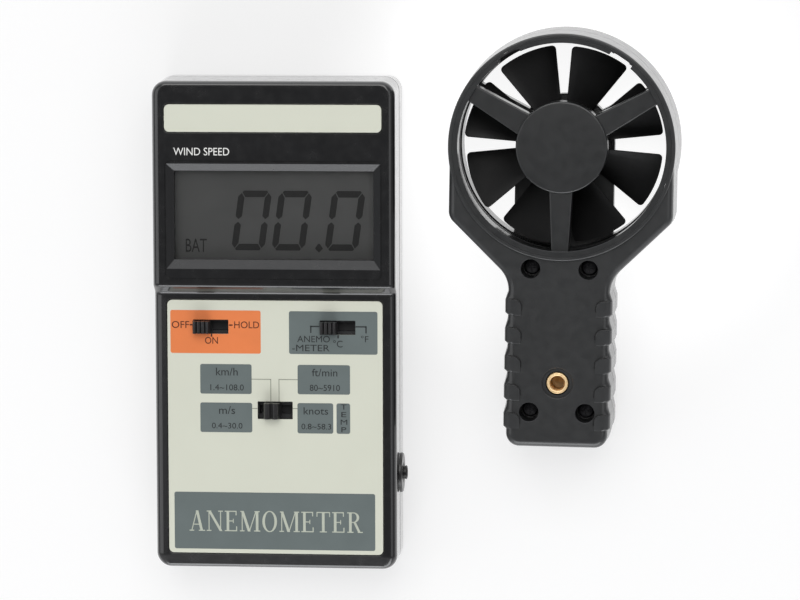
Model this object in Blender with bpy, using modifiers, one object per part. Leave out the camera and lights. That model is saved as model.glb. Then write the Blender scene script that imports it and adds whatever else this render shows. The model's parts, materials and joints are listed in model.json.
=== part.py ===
"""Vane anemometer: a hand-held meter and its separate vane probe, lying face up side by side.

Lengths are in millimetres and become metres where a mesh is made. The origin is on the surface
that both stand on, under the middle of the pair. +X is to the right of the display, +Y towards
its top, and +Z up, away from the surface.
"""

import math

import bmesh
import bpy
from mathutils import Matrix, Vector

MM = 0.001
GAP = 0.3  # air left between two pieces that touch on the real object

# Where the two halves of the pair stand.
METER_PLACE = (-44.0, -7.05)  # origin of the meter's frame
PROBE_PLACE = (46.15, 48.95)  # axis of the vane
PROBE_TURN = -0.95  # degrees about that axis

# Meter case. Its own frame has the back at Z = 0, and the origin near the back's middle.
METER_WIDTH = 76.4
METER_LOW_Y, METER_TOP_Y = -77.9, 77.0
DISPLAY_TOP = 27.0  # height of the raised display end
SWITCH_TOP = 24.0  # height of the lower end, with the switches
SPLIT = 12.0  # where the front and rear cases meet
WALL = 2.0
CASE_CORNER = 4.5
CASE_EDGE = 2.4
STEP_TOP_Y, STEP_FOOT_Y = 11.8, 9.6
STRIP = (-34.1, 34.1, 60.3, 68.9)  # flat labels, as x0, x1, y0, y1
PANEL = (-34.0, 34.0, -73.0, 7.3)
LABEL_POCKET = 0.7
LABEL_CORNER = 1.5

# Display.
RECESS = (-33.6, 33.6, 17.4, 50.4)  # at the front face
WINDOW = (-31.4, 31.4, 20.2, 48.1)  # at the foot of the recess
RECESS_DEPTH = 1.8
RECESS_FLOOR = 0.8  # thickness left round the window
LENS_THICKNESS, GLASS_THICKNESS = 1.4, 2.2
BOARD_LOW, BOARD_HIGH = 14.4, 16.0
BOARD = (-33.5, 33.5, -36.5, 57.0)

# Slide switches: middle of the slot, its size, the knob's size and where the knob stands.
SWITCHES = {
    "power": {"slot": (-20.3, -1.1), "size": (11.3, 4.5), "knob": (5.4, 3.9), "at": -2.75},
    "function": {"slot": (19.8, -1.1), "size": (11.3, 4.5), "knob": (5.4, 3.9), "at": -2.75},
    "unit": {"slot": (0.0, -27.4), "size": (11.1, 5.6), "knob": (5.2, 5.0), "at": -0.92},
}
KNOB_TOP = 27.2
STEM = (3.0, 2.0)

# Fastenings, as places in the meter's frame.
CASE_SCREWS = [(-30.0, 68.0), (30.0, 68.0), (-32.5, -40.0), (32.5, -40.0)]
BOARD_SCREWS = [(-30.8, 54.2), (30.8, 54.2), (-30.8, -32.5), (30.8, -32.5)]

# Battery bay and battery, a 9 V block.
BAY = (-30.5, 30.5, METER_LOW_Y, -46.0)
COVER_THICKNESS = 2.0
TONGUE = 1.2  # width of the rail on each side of the cover
BATTERY = (-29.5, 16.9, -74.4, -47.9)
BATTERY_LOW, BATTERY_HIGH = 2.7, 20.2

# Probe socket in the meter's right side.
JACK_Y, JACK_Z = -48.2, 13.0
JACK_BACK, JACK_REACH = 27.2, 40.6  # x of its inner and its open end

# Probe. Its own frame has the vane's axis at the origin.
RING_RADIUS = 35.3
REAR_RING_RADIUS = 36.0  # the lower half stands a little proud of the upper one
RING_BORE = 34.0
RING_SIDES = 48
BAND_RADIUS, BAND_BORE = 33.7, 32.3
PROBE_TOP = 29.0
HANDLE_TOP = 28.0
PROBE_SPLIT = 14.5
SHOULDER_X, SHOULDER_Y = 34.9, -22.7
HANDLE_X, NECK_Y, HANDLE_END = 16.3, -41.2, -94.1
HANDLE_WALL = 2.2
HUB_RADIUS, REAR_HUB_RADIUS = 14.25, 15.6
ARM_REACH = 33.3
SPOKE_ROOT, SPOKE_TIP = 4.2, 2.65  # half widths
SPOKE_ANGLES = (30, 150, 270)
NOTCH_ANGLES = (57, 121)
NOTCH_DEPTH, NOTCH_HALF_WIDTH = 0.9, 3.7
BLADES = 8
BLADE_TIP, BLADE_ROOT = 31.0, 12.8
BLADE_LOW, BLADE_HIGH = 9.0, 19.0
BLADE_SWEEP = 34.5  # degrees that one blade covers
FIRST_BLADE = 113.7  # direction of the middle of one blade
HUB_WEB = (14.0, 15.8)  # heights of the plate inside the impeller's hub
SHAFT_RADIUS = 0.7
BEARING_RADIUS, BEARING_BORE, BEARING_HEIGHT = 3.0, 0.8, 2.0
LID_RADIUS, LID = 12.2, (0.6, 1.3)  # the rear hub's lid, and its heights
HUB_ROOM_RADIUS = 12.6
PROBE_SCREWS = [(-8.95, -37.9), (8.95, -37.9), (-8.75, -82.7), (8.75, -82.7)]
SCREW_WELL = 3.0  # radius
INSERT_Y, INSERT_RADIUS, INSERT_BORE = -73.5, 3.4, 2.5
GRIP_TOPS = [-47.6 - 8.9 * rib for rib in range(5)]
GRIP_INNER, GRIP_HEIGHT, GRIP_PROUD = 11.6, 4.9, 0.6

# Colour, roughness and metallic value of each finish.
FINISHES = {
    "case_black": ((0.030, 0.030, 0.033), 0.35, 0.0),
    "probe_black": ((0.040, 0.042, 0.045), 0.45, 0.0),
    "knob_black": ((0.020, 0.020, 0.021), 0.40, 0.0),
    "label_cream": ((0.66, 0.68, 0.57), 0.45, 0.0),
    "window_grey": ((0.10, 0.10, 0.10), 0.10, 0.0),
    "display_glass": ((0.10, 0.11, 0.10), 0.15, 0.0),
    "board_green": ((0.03, 0.16, 0.07), 0.50, 0.0),
    "chip_black": ((0.02, 0.02, 0.02), 0.55, 0.0),
    "switch_steel": ((0.60, 0.60, 0.58), 0.35, 1.0),
    "screw_steel": ((0.55, 0.56, 0.58), 0.30, 1.0),
    "brass": ((0.80, 0.58, 0.25), 0.28, 1.0),
    "battery_shell": ((0.12, 0.13, 0.15), 0.35, 0.6),
    "lead_red": ((0.55, 0.03, 0.03), 0.45, 0.0),
    "lead_black": ((0.02, 0.02, 0.02), 0.45, 0.0),
    "zebra_grey": ((0.35, 0.35, 0.36), 0.60, 0.0),
    "trimmer_blue": ((0.05, 0.12, 0.45), 0.40, 0.0),
}


def clear_scene():
    for obj in list(bpy.data.objects):
        bpy.data.objects.remove(obj, do_unlink=True)


def new_collection(name):
    made = bpy.data.collections.new(name)
    bpy.context.scene.collection.children.link(made)
    return made


clear_scene()
PARTS = new_collection("vane_anemometer")
CUTTERS = new_collection("cutters")


# Outlines, as lists of (x, y) points.


def rounded(corners, radii, steps=4):
    """A closed outline whose corners are rounded, each to its own radius, by an arc."""
    points = []
    count = len(corners)
    for i, (corner, radius) in enumerate(zip(corners, radii)):
        here = Vector(corner)
        before = (Vector(corners[i - 1]) - here).normalized()
        after = (Vector(corners[(i + 1) % count]) - here).normalized()
        if not radius:
            points.append(tuple(here))
            continue
        half = before.angle(after) / 2
        centre = here + (before + after).normalized() * (radius / math.sin(half))
        start = here + before * (radius / math.tan(half)) - centre
        turn = (math.pi - 2 * half) * (1 if before.cross(after) < 0 else -1)
        for step in range(steps + 1):
            points.append(tuple(centre + Matrix.Rotation(turn * step / steps, 2) @ start))
    return points


def rounded_box(rect, radius, steps=4):
    x0, x1, y0, y1 = rect
    return rounded([(x0, y0), (x1, y0), (x1, y1), (x0, y1)], [radius] * 4, steps)


def inset(rect, by):
    x0, x1, y0, y1 = rect
    return (x0 + by, x1 - by, y0 + by, y1 - by)


def around(centre, size):
    """A rectangle about a point."""
    (x, y), (width, length) = centre, size
    return (x - width / 2, x + width / 2, y - length / 2, y + length / 2)


# Solids. Each function returns an object in the parts collection.


def add_object(name, mesh):
    obj = bpy.data.objects.new(name, mesh)
    PARTS.objects.link(obj)
    return obj


def add_mesh(name, bm):
    bmesh.ops.recalc_face_normals(bm, faces=bm.faces)
    mesh = bpy.data.meshes.new(name)
    bm.to_mesh(mesh)
    bm.free()
    return add_object(name, mesh)


def turned_to(along):
    """The turn that carries local Z to this axis, keeping the axes in cyclic order."""
    shift = {"Z": 0, "X": 1, "Y": 2}[along]
    rows = [[1 if (row - shift) % 3 == column else 0 for column in range(3)] for row in range(3)]
    return Matrix(rows)


def slab(name, outline, low, high, along="Z", holes=()):
    """A flat plate of this outline between two heights. Along X its outline is in Y and Z,
    and along Y it is in Z and X."""
    curve = bpy.data.curves.new(name, "CURVE")
    curve.dimensions = "2D"
    curve.fill_mode = "BOTH"
    curve.extrude = (high - low) / 2 * MM
    for points in (outline, *holes):
        spline = curve.splines.new("POLY")
        spline.points.add(len(points) - 1)
        spline.use_cyclic_u = True
        for point, (x, y) in zip(spline.points, points):
            point.co = (x * MM, y * MM, 0, 1)
    guide = bpy.data.objects.new(name, curve)
    bm = bmesh.new()
    bm.from_mesh(mesh_of(guide))
    bpy.data.objects.remove(guide)
    bmesh.ops.remove_doubles(bm, verts=bm.verts, dist=0.001 * MM)
    if not holes:
        bmesh.ops.dissolve_limit(bm, angle_limit=0.001, verts=bm.verts, edges=bm.edges)
    bmesh.ops.translate(bm, verts=bm.verts, vec=(0, 0, (low + high) / 2 * MM))
    bmesh.ops.rotate(bm, verts=bm.verts, matrix=turned_to(along))
    return add_mesh(name, bm)


def mesh_of(obj):
    """The object's shape as a mesh, with its modifiers applied."""
    linked = obj.name in bpy.context.scene.collection.all_objects
    if not linked:
        bpy.context.scene.collection.objects.link(obj)
    graph = bpy.context.evaluated_depsgraph_get()
    mesh = bpy.data.meshes.new_from_object(obj.evaluated_get(graph))
    if not linked:
        bpy.context.scene.collection.objects.unlink(obj)
    return mesh


def block(name, rect, low, high):
    """A box over a rectangle, between two heights."""
    return flared(name, rect, low, rect, high)


def flared(name, foot, low, head, high):
    """A box whose upper end is another rectangle than its lower one."""
    bm = bmesh.new()
    bmesh.ops.create_cube(bm, size=2)
    for vert in bm.verts:
        x0, x1, y0, y1 = head if vert.co.z > 0 else foot
        x = x1 if vert.co.x > 0 else x0
        y = y1 if vert.co.y > 0 else y0
        vert.co = Vector((x, y, high if vert.co.z > 0 else low)) * MM
    return add_mesh(name, bm)


def rods(name, places, radius, low, high, along="Z", sides=16):
    """A cylinder at each place, all in one object."""
    bm = bmesh.new()
    for x, y in places:
        made = bmesh.ops.create_cone(
            bm,
            cap_ends=True,
            segments=sides,
            radius1=radius * MM,
            radius2=radius * MM,
            depth=(high - low) * MM,
        )
        middle = Vector((x, y, (low + high) / 2)) * MM
        bmesh.ops.translate(bm, verts=made["verts"], vec=middle)
    bmesh.ops.rotate(bm, verts=bm.verts, matrix=turned_to(along))
    return add_mesh(name, bm)


def turned(name, profile, sides=32, closed=True):
    """A turned shape about Z. The profile holds (radius, height) points, down its outer side."""
    mesh = bpy.data.meshes.new(name)
    points = [(radius * MM, 0, height * MM) for radius, height in profile]
    links = [(i, i + 1) for i in range(len(points) - 1)]
    if closed:
        links.append((len(points) - 1, 0))
    mesh.from_pydata(points, links, [])
    obj = add_object(name, mesh)
    screw = obj.modifiers.new("turn", "SCREW")
    screw.axis = "Z"
    screw.steps = screw.render_steps = sides
    screw.use_merge_vertices = True
    screw.merge_threshold = 0.001 * MM
    return obj


def ring(name, outer, inner, low, high, sides=32):
    profile = [(inner, high), (outer, high), (outer, low), (inner, low)]
    return turned(name, profile, sides)


# Changes to a solid.


def keep_shape(obj):
    """Applies the object's modifiers."""
    mesh = mesh_of(obj)
    obj.modifiers.clear()
    obj.data = mesh
    return obj


def soften(obj, width, segments=2, sharper_than=60):
    """Rounds the edges that are sharper than this angle."""
    bevel = obj.modifiers.new("soften", "BEVEL")
    bevel.width = width * MM
    bevel.segments = segments
    bevel.limit_method = "ANGLE"
    bevel.angle_limit = math.radians(sharper_than)
    return obj


def combine(obj, other, operation):
    CUTTERS.objects.link(other)
    PARTS.objects.unlink(other)
    other.hide_render = True
    other.display_type = "WIRE"
    boolean = obj.modifiers.new(operation.lower(), "BOOLEAN")
    boolean.operation = operation
    boolean.object = other
    boolean.solver = "EXACT"
    return obj


def cut(obj, *cutters):
    for cutter in cutters:
        combine(obj, cutter, "DIFFERENCE")
    return obj


def join(obj, *others):
    for other in others:
        combine(obj, other, "UNION")
    return obj


def shade(obj, angle=35):
    """Smooth shading, with the edges above this angle left sharp."""
    if obj.type == "MESH":
        keep_shape(obj)
        obj.data.shade_smooth()
        obj.data.set_sharp_from_angle(angle=math.radians(angle))
    return obj


def finish(obj, kind):
    """Gives the object its material."""
    material = bpy.data.materials.get(kind)
    if material is None:
        colour, roughness, metallic = FINISHES[kind]
        material = bpy.data.materials.new(kind)
        material.use_nodes = True
        shader = material.node_tree.nodes["Principled BSDF"]
        shader.inputs["Base Color"].default_value = (*colour, 1)
        shader.inputs["Roughness"].default_value = roughness
        shader.inputs["Metallic"].default_value = metallic
    shade(obj)
    obj.data.materials.clear()
    obj.data.materials.append(material)
    return obj


def adopt(name, place, turn=0.0):
    """Hangs every object made since the last call on an empty at this place, turned by degrees."""
    station = bpy.data.objects.new(name, None)
    station.location = Vector((*place, 0)) * MM
    station.rotation_euler.z = math.radians(turn)
    for obj in [*PARTS.objects, *CUTTERS.objects]:
        if obj.parent is None and obj.type != "EMPTY":
            obj.parent = station
    PARTS.objects.link(station)
    return station


def hang_on_axis(obj, place, height):
    """Moves the object's origin to a point on its joint's axis, in its parent's frame."""
    point = Vector((*place, height)) * MM
    obj.data.transform(Matrix.Translation(-point))
    obj.location = point


# Meter: cases.


def case_body(name, rect, low, switch_top, display_top, corner, edge):
    """A block with rounded corners whose display end is higher, down a slope, than the rest."""
    body = slab(name, rounded_box(rect, corner), low, display_top)
    over = display_top + 5
    slope = (STEP_TOP_Y - STEP_FOOT_Y) / (DISPLAY_TOP - SWITCH_TOP)
    step = [
        (rect[2] - 5, switch_top),
        (STEP_FOOT_Y, switch_top),
        (STEP_FOOT_Y + slope * (over - switch_top), over),
        (rect[2] - 5, over),
    ]
    cut(body, slab(name + "_step", step, rect[0] - 5, rect[1] + 5, along="X"))
    return soften(body, edge) if edge else body


def front_case():
    half_width = METER_WIDTH / 2
    outer = (-half_width, half_width, METER_LOW_Y, METER_TOP_Y)
    case = case_body("front_case", outer, SPLIT - 6, SWITCH_TOP, DISPLAY_TOP, CASE_CORNER, CASE_EDGE)
    foot = block("front_case_foot", inset(outer, -5), SPLIT - 12, SPLIT)
    cavity = inset(outer, WALL)
    hollow = slab(
        "front_hollow", rounded_box(cavity, CASE_CORNER - WALL), SPLIT - 3, SWITCH_TOP - WALL
    )
    top_room = (cavity[0] + 1, cavity[1] - 1, RECESS[3] + 2.5, cavity[3] - 1)
    attic = slab("front_attic", rounded_box(top_room, 2), SPLIT, DISPLAY_TOP - WALL)
    cut(case, foot, hollow, attic)

    roof = {"low": SWITCH_TOP - WALL + 0.6, "high": DISPLAY_TOP - WALL + 0.6}
    join(
        case,
        rods("upper_case_posts", CASE_SCREWS[:2], 3.0, SPLIT + GAP, roof["high"]),
        rods("lower_case_posts", CASE_SCREWS[2:], 3.0, SPLIT + GAP, roof["low"]),
        rods("upper_board_posts", BOARD_SCREWS[:2], 2.4, BOARD_HIGH + GAP, roof["high"]),
        rods("lower_board_posts", BOARD_SCREWS[2:], 2.4, BOARD_HIGH + GAP, roof["low"]),
    )
    cut(
        case,
        rods("case_post_holes", CASE_SCREWS, 1.45, SPLIT - 1, 20.5, sides=12),
        rods("board_post_holes", BOARD_SCREWS, 1.1, BOARD_HIGH, 20.5, sides=12),
    )

    recess_foot = DISPLAY_TOP - RECESS_DEPTH
    above = 1.3  # the recess's slopes carry on to above the face by this share of their height
    opening = [w + (r - w) * above for r, w in zip(RECESS, WINDOW)]
    cut(
        case,
        flared("recess", WINDOW, recess_foot, opening, recess_foot + RECESS_DEPTH * above),
        block("window_opening", WINDOW, recess_foot - 2, recess_foot + 0.1),
        block("lens_pocket", inset(WINDOW, -1.6), SPLIT, recess_foot - RECESS_FLOOR),
        slab("strip_pocket", rounded_box(inset(STRIP, -GAP), LABEL_CORNER),
             DISPLAY_TOP - LABEL_POCKET, DISPLAY_TOP + 2),
        slab("panel_pocket", rounded_box(inset(PANEL, -GAP), LABEL_CORNER),
             SWITCH_TOP - LABEL_POCKET, SWITCH_TOP + 1),
    )
    for kind, switch in SWITCHES.items():
        slot = around(switch["slot"], switch["size"])
        cut(case, block(kind + "_slot", slot, SWITCH_TOP - WALL - 2, SWITCH_TOP + 3))
    cut(case, rods("front_jack_hole", [(JACK_Y, JACK_Z)], 2.6, 30, 45, along="X"))
    return finish(case, "case_black")


def rear_case():
    half_width = METER_WIDTH / 2
    outer = (-half_width, half_width, METER_LOW_Y, METER_TOP_Y)
    top = SPLIT - GAP
    case = slab("rear_case", rounded_box(outer, CASE_CORNER), 0, top + 6)
    soften(case, CASE_EDGE)
    cut(case, block("rear_case_head", inset(outer, -5), top, top + 12))
    cavity = inset(outer, WALL)
    hollow = slab("rear_hollow", rounded_box(cavity, CASE_CORNER - WALL), WALL, SPLIT + 8)
    cut(case, hollow)

    bay_x0, bay_x1, bay_y0, bay_y1 = BAY
    partition = (-half_width + 0.5, JACK_BACK - 1, bay_y1 + 1.0, bay_y1 + 2.4)
    join(
        case,
        rods("rear_posts", CASE_SCREWS, 3.4, 1.0, top),
        block("bay_wall", partition, 1.0, top - 0.5),
    )
    cut(
        case,
        rods("screw_wells", CASE_SCREWS, 2.9, -1, 4.5),
        rods("screw_holes", CASE_SCREWS, 1.5, 3, SPLIT + 2, sides=12),
        block("bay_mouth", (bay_x0, bay_x1, bay_y0 - 2, bay_y1), -1, WALL + 1),
        block("bay_rails", (bay_x0 - TONGUE - GAP, bay_x1 + TONGUE + GAP, bay_y0 - 2, bay_y1),
              0.9, 2.5),
        rods("rear_jack_hole", [(JACK_Y, JACK_Z)], 2.6, 30, 45, along="X"),
    )
    return finish(case, "case_black")


def battery_cover():
    """A flat door with a rail down each side. It slides off past the bottom of the case."""
    x0, x1, y0, y1 = BAY
    half = x1 - GAP
    rail = half + TONGUE
    section = [
        (0.0, -half), (1.2, -half), (1.2, -rail), (2.2, -rail),
        (2.2, rail), (1.2, rail), (1.2, half), (0.0, half),
    ]
    cover = slab("battery_cover", section, y0, y1 - GAP, along="Y")
    grooves = [(-8.0, 8.0, y1 - 6 - 1.6 * i, y1 - 5.2 - 1.6 * i) for i in range(4)]
    for i, groove in enumerate(grooves):
        cut(cover, block(f"thumb_groove_{i}", groove, -1, 0.5))
    return finish(cover, "case_black")


def labels():
    strip = slab("name_strip", rounded_box(STRIP, LABEL_CORNER), DISPLAY_TOP - LABEL_POCKET + 0.2,
                 DISPLAY_TOP)
    panel = slab("face_panel", rounded_box(PANEL, LABEL_CORNER), SWITCH_TOP - LABEL_POCKET + 0.2,
                 SWITCH_TOP)
    for kind, switch in SWITCHES.items():
        slot = around(switch["slot"], switch["size"])
        cut(panel, block(kind + "_panel_slot", slot, SWITCH_TOP - 2, SWITCH_TOP + 2))
    finish(strip, "label_cream")
    finish(panel, "label_cream")


# Meter: display and electronics.


def display():
    lens_top = DISPLAY_TOP - RECESS_DEPTH - RECESS_FLOOR - GAP
    lens_low = lens_top - LENS_THICKNESS
    lens = block("lcd_window", inset(WINDOW, -1.2), lens_low, lens_top)
    finish(lens, "window_grey")
    glass_rect = inset(WINDOW, -0.2)
    glass_top = lens_low - GAP
    glass_low = glass_top - GLASS_THICKNESS
    glass = block("lcd_glass", glass_rect, glass_low, glass_top)
    finish(glass, "display_glass")
    frame = block("lcd_frame", inset(WINDOW, -3.2), BOARD_HIGH + GAP, glass_top - 0.8)
    cut(frame, block("lcd_frame_opening", inset(glass_rect, -GAP), 5, 30))
    finish(frame, "chip_black")
    for side, y in (("lower", WINDOW[2] + 2.0), ("upper", WINDOW[3] - 2.0)):
        strip = block(f"zebra_strip_{side}", (-29.0, 29.0, y - 1.2, y + 1.2),
                      BOARD_HIGH + GAP, glass_low - GAP)
        finish(strip, "zebra_grey")


def electronics():
    board = block("main_board", BOARD, BOARD_LOW, BOARD_HIGH)
    cut(board, rods("board_holes", BOARD_SCREWS, 1.5, 10, 20, sides=12))
    finish(board, "board_green")
    under = BOARD_LOW - GAP
    finish(soften(block("counter_chip", (-9, 9, 25, 43), under - 2.6, under), 0.3, 1), "chip_black")
    for side, x in (("left", -21.0), ("right", 12.0)):
        trimmer = block(f"trimmer_{side}", (x - 3.3, x + 3.3, 4.0, 10.6), under - 4.4, under)
        dial = rods(f"trimmer_{side}_dial", [(x, 7.3)], 1.6, under - 5.0, under - 3, sides=12)
        finish(join(trimmer, dial), "trimmer_blue")
    finish(rods("smoothing_capacitor", [(22.0, 30.0)], 3.1, under - 8.5, under, sides=20),
           "chip_black")
    finish(soften(block("timing_crystal", (-27, -16, 30, 34.6), under - 3.4, under), 1.2, 2),
           "switch_steel")


def slide_switch(kind):
    """The switch's metal body on the board, and the knob that slides along its channel."""
    switch = SWITCHES[kind]
    x, y = switch["slot"]
    low, high = BOARD_HIGH + GAP, SWITCH_TOP - WALL - 0.7
    body = block(f"{kind}_switch_body", around((x, y), (14.6, 7.2)), low, high)
    channel = around((x, y), (switch["size"][0] - 0.6, STEM[1] + 0.8))
    cut(body, block(f"{kind}_channel", channel, high - 2.6, high + 1))
    finish(body, "switch_steel")

    place = (x + switch["at"], y)
    knob = block(f"{kind}_slider", around(place, switch["knob"]), high + GAP, KNOB_TOP)
    if kind == "unit":
        groove = around(place, (0.9, 8))
        cut(knob, flared("unit_groove", around(place, (0.2, 8)), KNOB_TOP - 0.9, groove, KNOB_TOP + 0.1))
    else:
        for i in range(4):
            rib = around((place[0] - 1.65 + 1.1 * i, y), (0.5, 8))
            cut(knob, block(f"{kind}_groove_{i}", rib, KNOB_TOP - 0.5, KNOB_TOP + 0.5))
    join(knob, block(f"{kind}_stem", around(place, STEM), high - 2.2, high + 1))
    finish(knob, "knob_black")
    hang_on_axis(knob, place, SWITCH_TOP)


def probe_jack():
    """The round socket that takes the probe's plug, and the nut that holds it in the wall."""
    body = slab("probe_jack", rounded_box((JACK_Y - 4.4, JACK_Y + 4.4, JACK_Z - 4.4, JACK_Z + 4.4),
                                          0.8, 2), JACK_BACK, METER_WIDTH / 2 - WALL - GAP, along="X")
    join(body, rods("jack_bushing", [(JACK_Y, JACK_Z)], 2.2, 34, JACK_REACH, along="X", sides=20))
    cut(body, rods("jack_bore", [(JACK_Y, JACK_Z)], 1.75, 29, 45, along="X", sides=20))
    finish(body, "knob_black")
    nut = rods("jack_nut", [(JACK_Y, JACK_Z)], 6.3, METER_WIDTH / 2 + GAP, METER_WIDTH / 2 + 1.2,
               along="X", sides=24)
    cut(nut, rods("jack_nut_hole", [(JACK_Y, JACK_Z)], 2.5, 30, 45, along="X", sides=20))
    finish(nut, "knob_black")


# Meter: battery and fastenings.


def lead(name, points, radius, kind):
    """An insulated wire through these points, as one smooth curve."""
    course = smooth_line([Vector(point) for point in points], 2)
    curve = bpy.data.curves.new(name, "CURVE")
    curve.dimensions = "3D"
    curve.bevel_depth = radius * MM
    curve.bevel_resolution = 1
    curve.use_fill_caps = True
    spline = curve.splines.new("POLY")
    spline.points.add(len(course) - 1)
    for point, place in zip(spline.points, course):
        point.co = (*(place * MM), 1)
    obj = bpy.data.objects.new(name, curve)
    PARTS.objects.link(obj)
    return finish(obj, kind)


def smooth_line(points, steps):
    """Points along a Catmull-Rom curve through the given ones."""
    ends = [2 * points[0] - points[1], *points, 2 * points[-1] - points[-2]]
    line = []
    for before, here, there, after in zip(ends, ends[1:], ends[2:], ends[3:]):
        for step in range(steps):
            t = step / steps
            line.append(
                0.5
                * (
                    2 * here
                    + (there - before) * t
                    + (2 * before - 5 * here + 4 * there - after) * t**2
                    + (3 * here - before - 3 * there + after) * t**3
                )
            )
    return [*line, points[-1]]


def battery():
    x0, x1, y0, y1 = BATTERY
    middle_z = (BATTERY_LOW + BATTERY_HIGH) / 2
    terminals = [(y0 + 6.9, middle_z), (y1 - 6.9, middle_z)]
    cell = block("battery", BATTERY, BATTERY_LOW, BATTERY_HIGH)
    soften(cell, 1.2, 2)
    join(cell, rods("battery_terminals", terminals, 3.4, x1 - 1, x1 + 2.1, along="X"))
    finish(cell, "battery_shell")

    snap_rect = (y0 + 1.2, y1 - 1.2, middle_z - 5.4, middle_z + 5.4)
    snap = slab("battery_snap", rounded_box(snap_rect, 3, 3), x1 + GAP, x1 + 5.2, along="X")
    cut(snap, rods("snap_sockets", terminals, 3.4 + GAP, x1 - 2, x1 + 2.1 + GAP, along="X"))
    finish(snap, "lead_black")
    leave_x = x1 + 5.2 + GAP
    (far_y, _), (near_y, _) = terminals
    # Each wire turns up behind the snap, passes over the bay's wall and ends under the board.
    lead(
        "battery_lead_red",
        [
            (leave_x, far_y, middle_z),
            (leave_x + 1.5, far_y + 2, middle_z + 0.5),
            (leave_x + 1.5, -52, 13.6),
            (20, -44.3, 13.3),
            (14, -39, 13.2),
            (14, -33, 13.2),
        ],
        0.55,
        "lead_red",
    )
    lead(
        "battery_lead_black",
        [
            (leave_x, near_y, middle_z),
            (leave_x + 1.3, near_y + 1.6, middle_z - 0.8),
            (leave_x + 1.2, -49, 11),
            (21.5, -44.4, 12.2),
            (17.5, -39, 12.9),
            (17.5, -33, 13.1),
        ],
        0.55,
        "lead_black",
    )


def screw(name, place, head_low, head_high, head_radius, tip, shank_radius, along_up=True):
    """A round-headed screw. Its shank runs from the head to the height of its tip."""
    head = rods(name, [place], head_radius, head_low, head_high, sides=12)
    ends = (head_high - 0.2, tip) if along_up else (tip, head_low + 0.2)
    join(head, rods(name + "_shank", [place], shank_radius, *ends, sides=8))
    face = head_low if along_up else head_high
    for turn, size in enumerate(((2.4, 0.6), (0.6, 2.4))):
        cut(head, block(f"{name}_slot_{turn}", around(place, size), face - 0.7, face + 0.7))
    return finish(head, "screw_steel")


def meter_screws():
    for i, place in enumerate(CASE_SCREWS, 1):
        screw(f"case_screw_{i}", place, 2.4, 4.2, 2.5, 19.0, 1.15)
    for i, place in enumerate(BOARD_SCREWS, 1):
        head_high = BOARD_LOW - GAP
        screw(f"board_screw_{i}", place, head_high - 1.3, head_high, 2.1, 20.0, 0.85)


def meter():
    front_case()
    rear_case()
    battery_cover()
    labels()
    display()
    electronics()
    for kind in SWITCHES:
        slide_switch(kind)
    probe_jack()
    battery()
    meter_screws()
    adopt("meter_station", METER_PLACE)


# Probe: shells and grip.


def handle_outline(by=0.0, top=0.0):
    """The outline of shoulders and handle, pulled in by this much."""
    shoulder_x, handle_x = SHOULDER_X - by, HANDLE_X - by
    slant = by * math.tan(math.radians(22.5))  # keeps the 45 degree sides parallel
    right = [
        (shoulder_x, top),
        (shoulder_x, SHOULDER_Y + slant),
        (handle_x, NECK_Y + slant),
        (handle_x, HANDLE_END + by),
    ]
    left = [(-x, y) for x, y in reversed(right)]
    radii = [0, 5.0, 9.0, 4.6]
    return rounded(right + left, radii + radii[::-1], 3)


def grip_ribs(name, low, high):
    """Pads that stand proud of the handle's sides and of the face beside them."""
    ribs = None
    for i, top in enumerate(GRIP_TOPS):
        for side in (-1, 1):
            inner, outer = GRIP_INNER, HANDLE_X + GRIP_PROUD
            x0, x1 = sorted((side * inner, side * outer))
            rib = block(f"{name}_rib_{i}_{side}", (x0, x1, top - GRIP_HEIGHT, top), low, high)
            ribs = keep_shape(join(ribs, rib)) if ribs else rib
    return ribs


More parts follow.
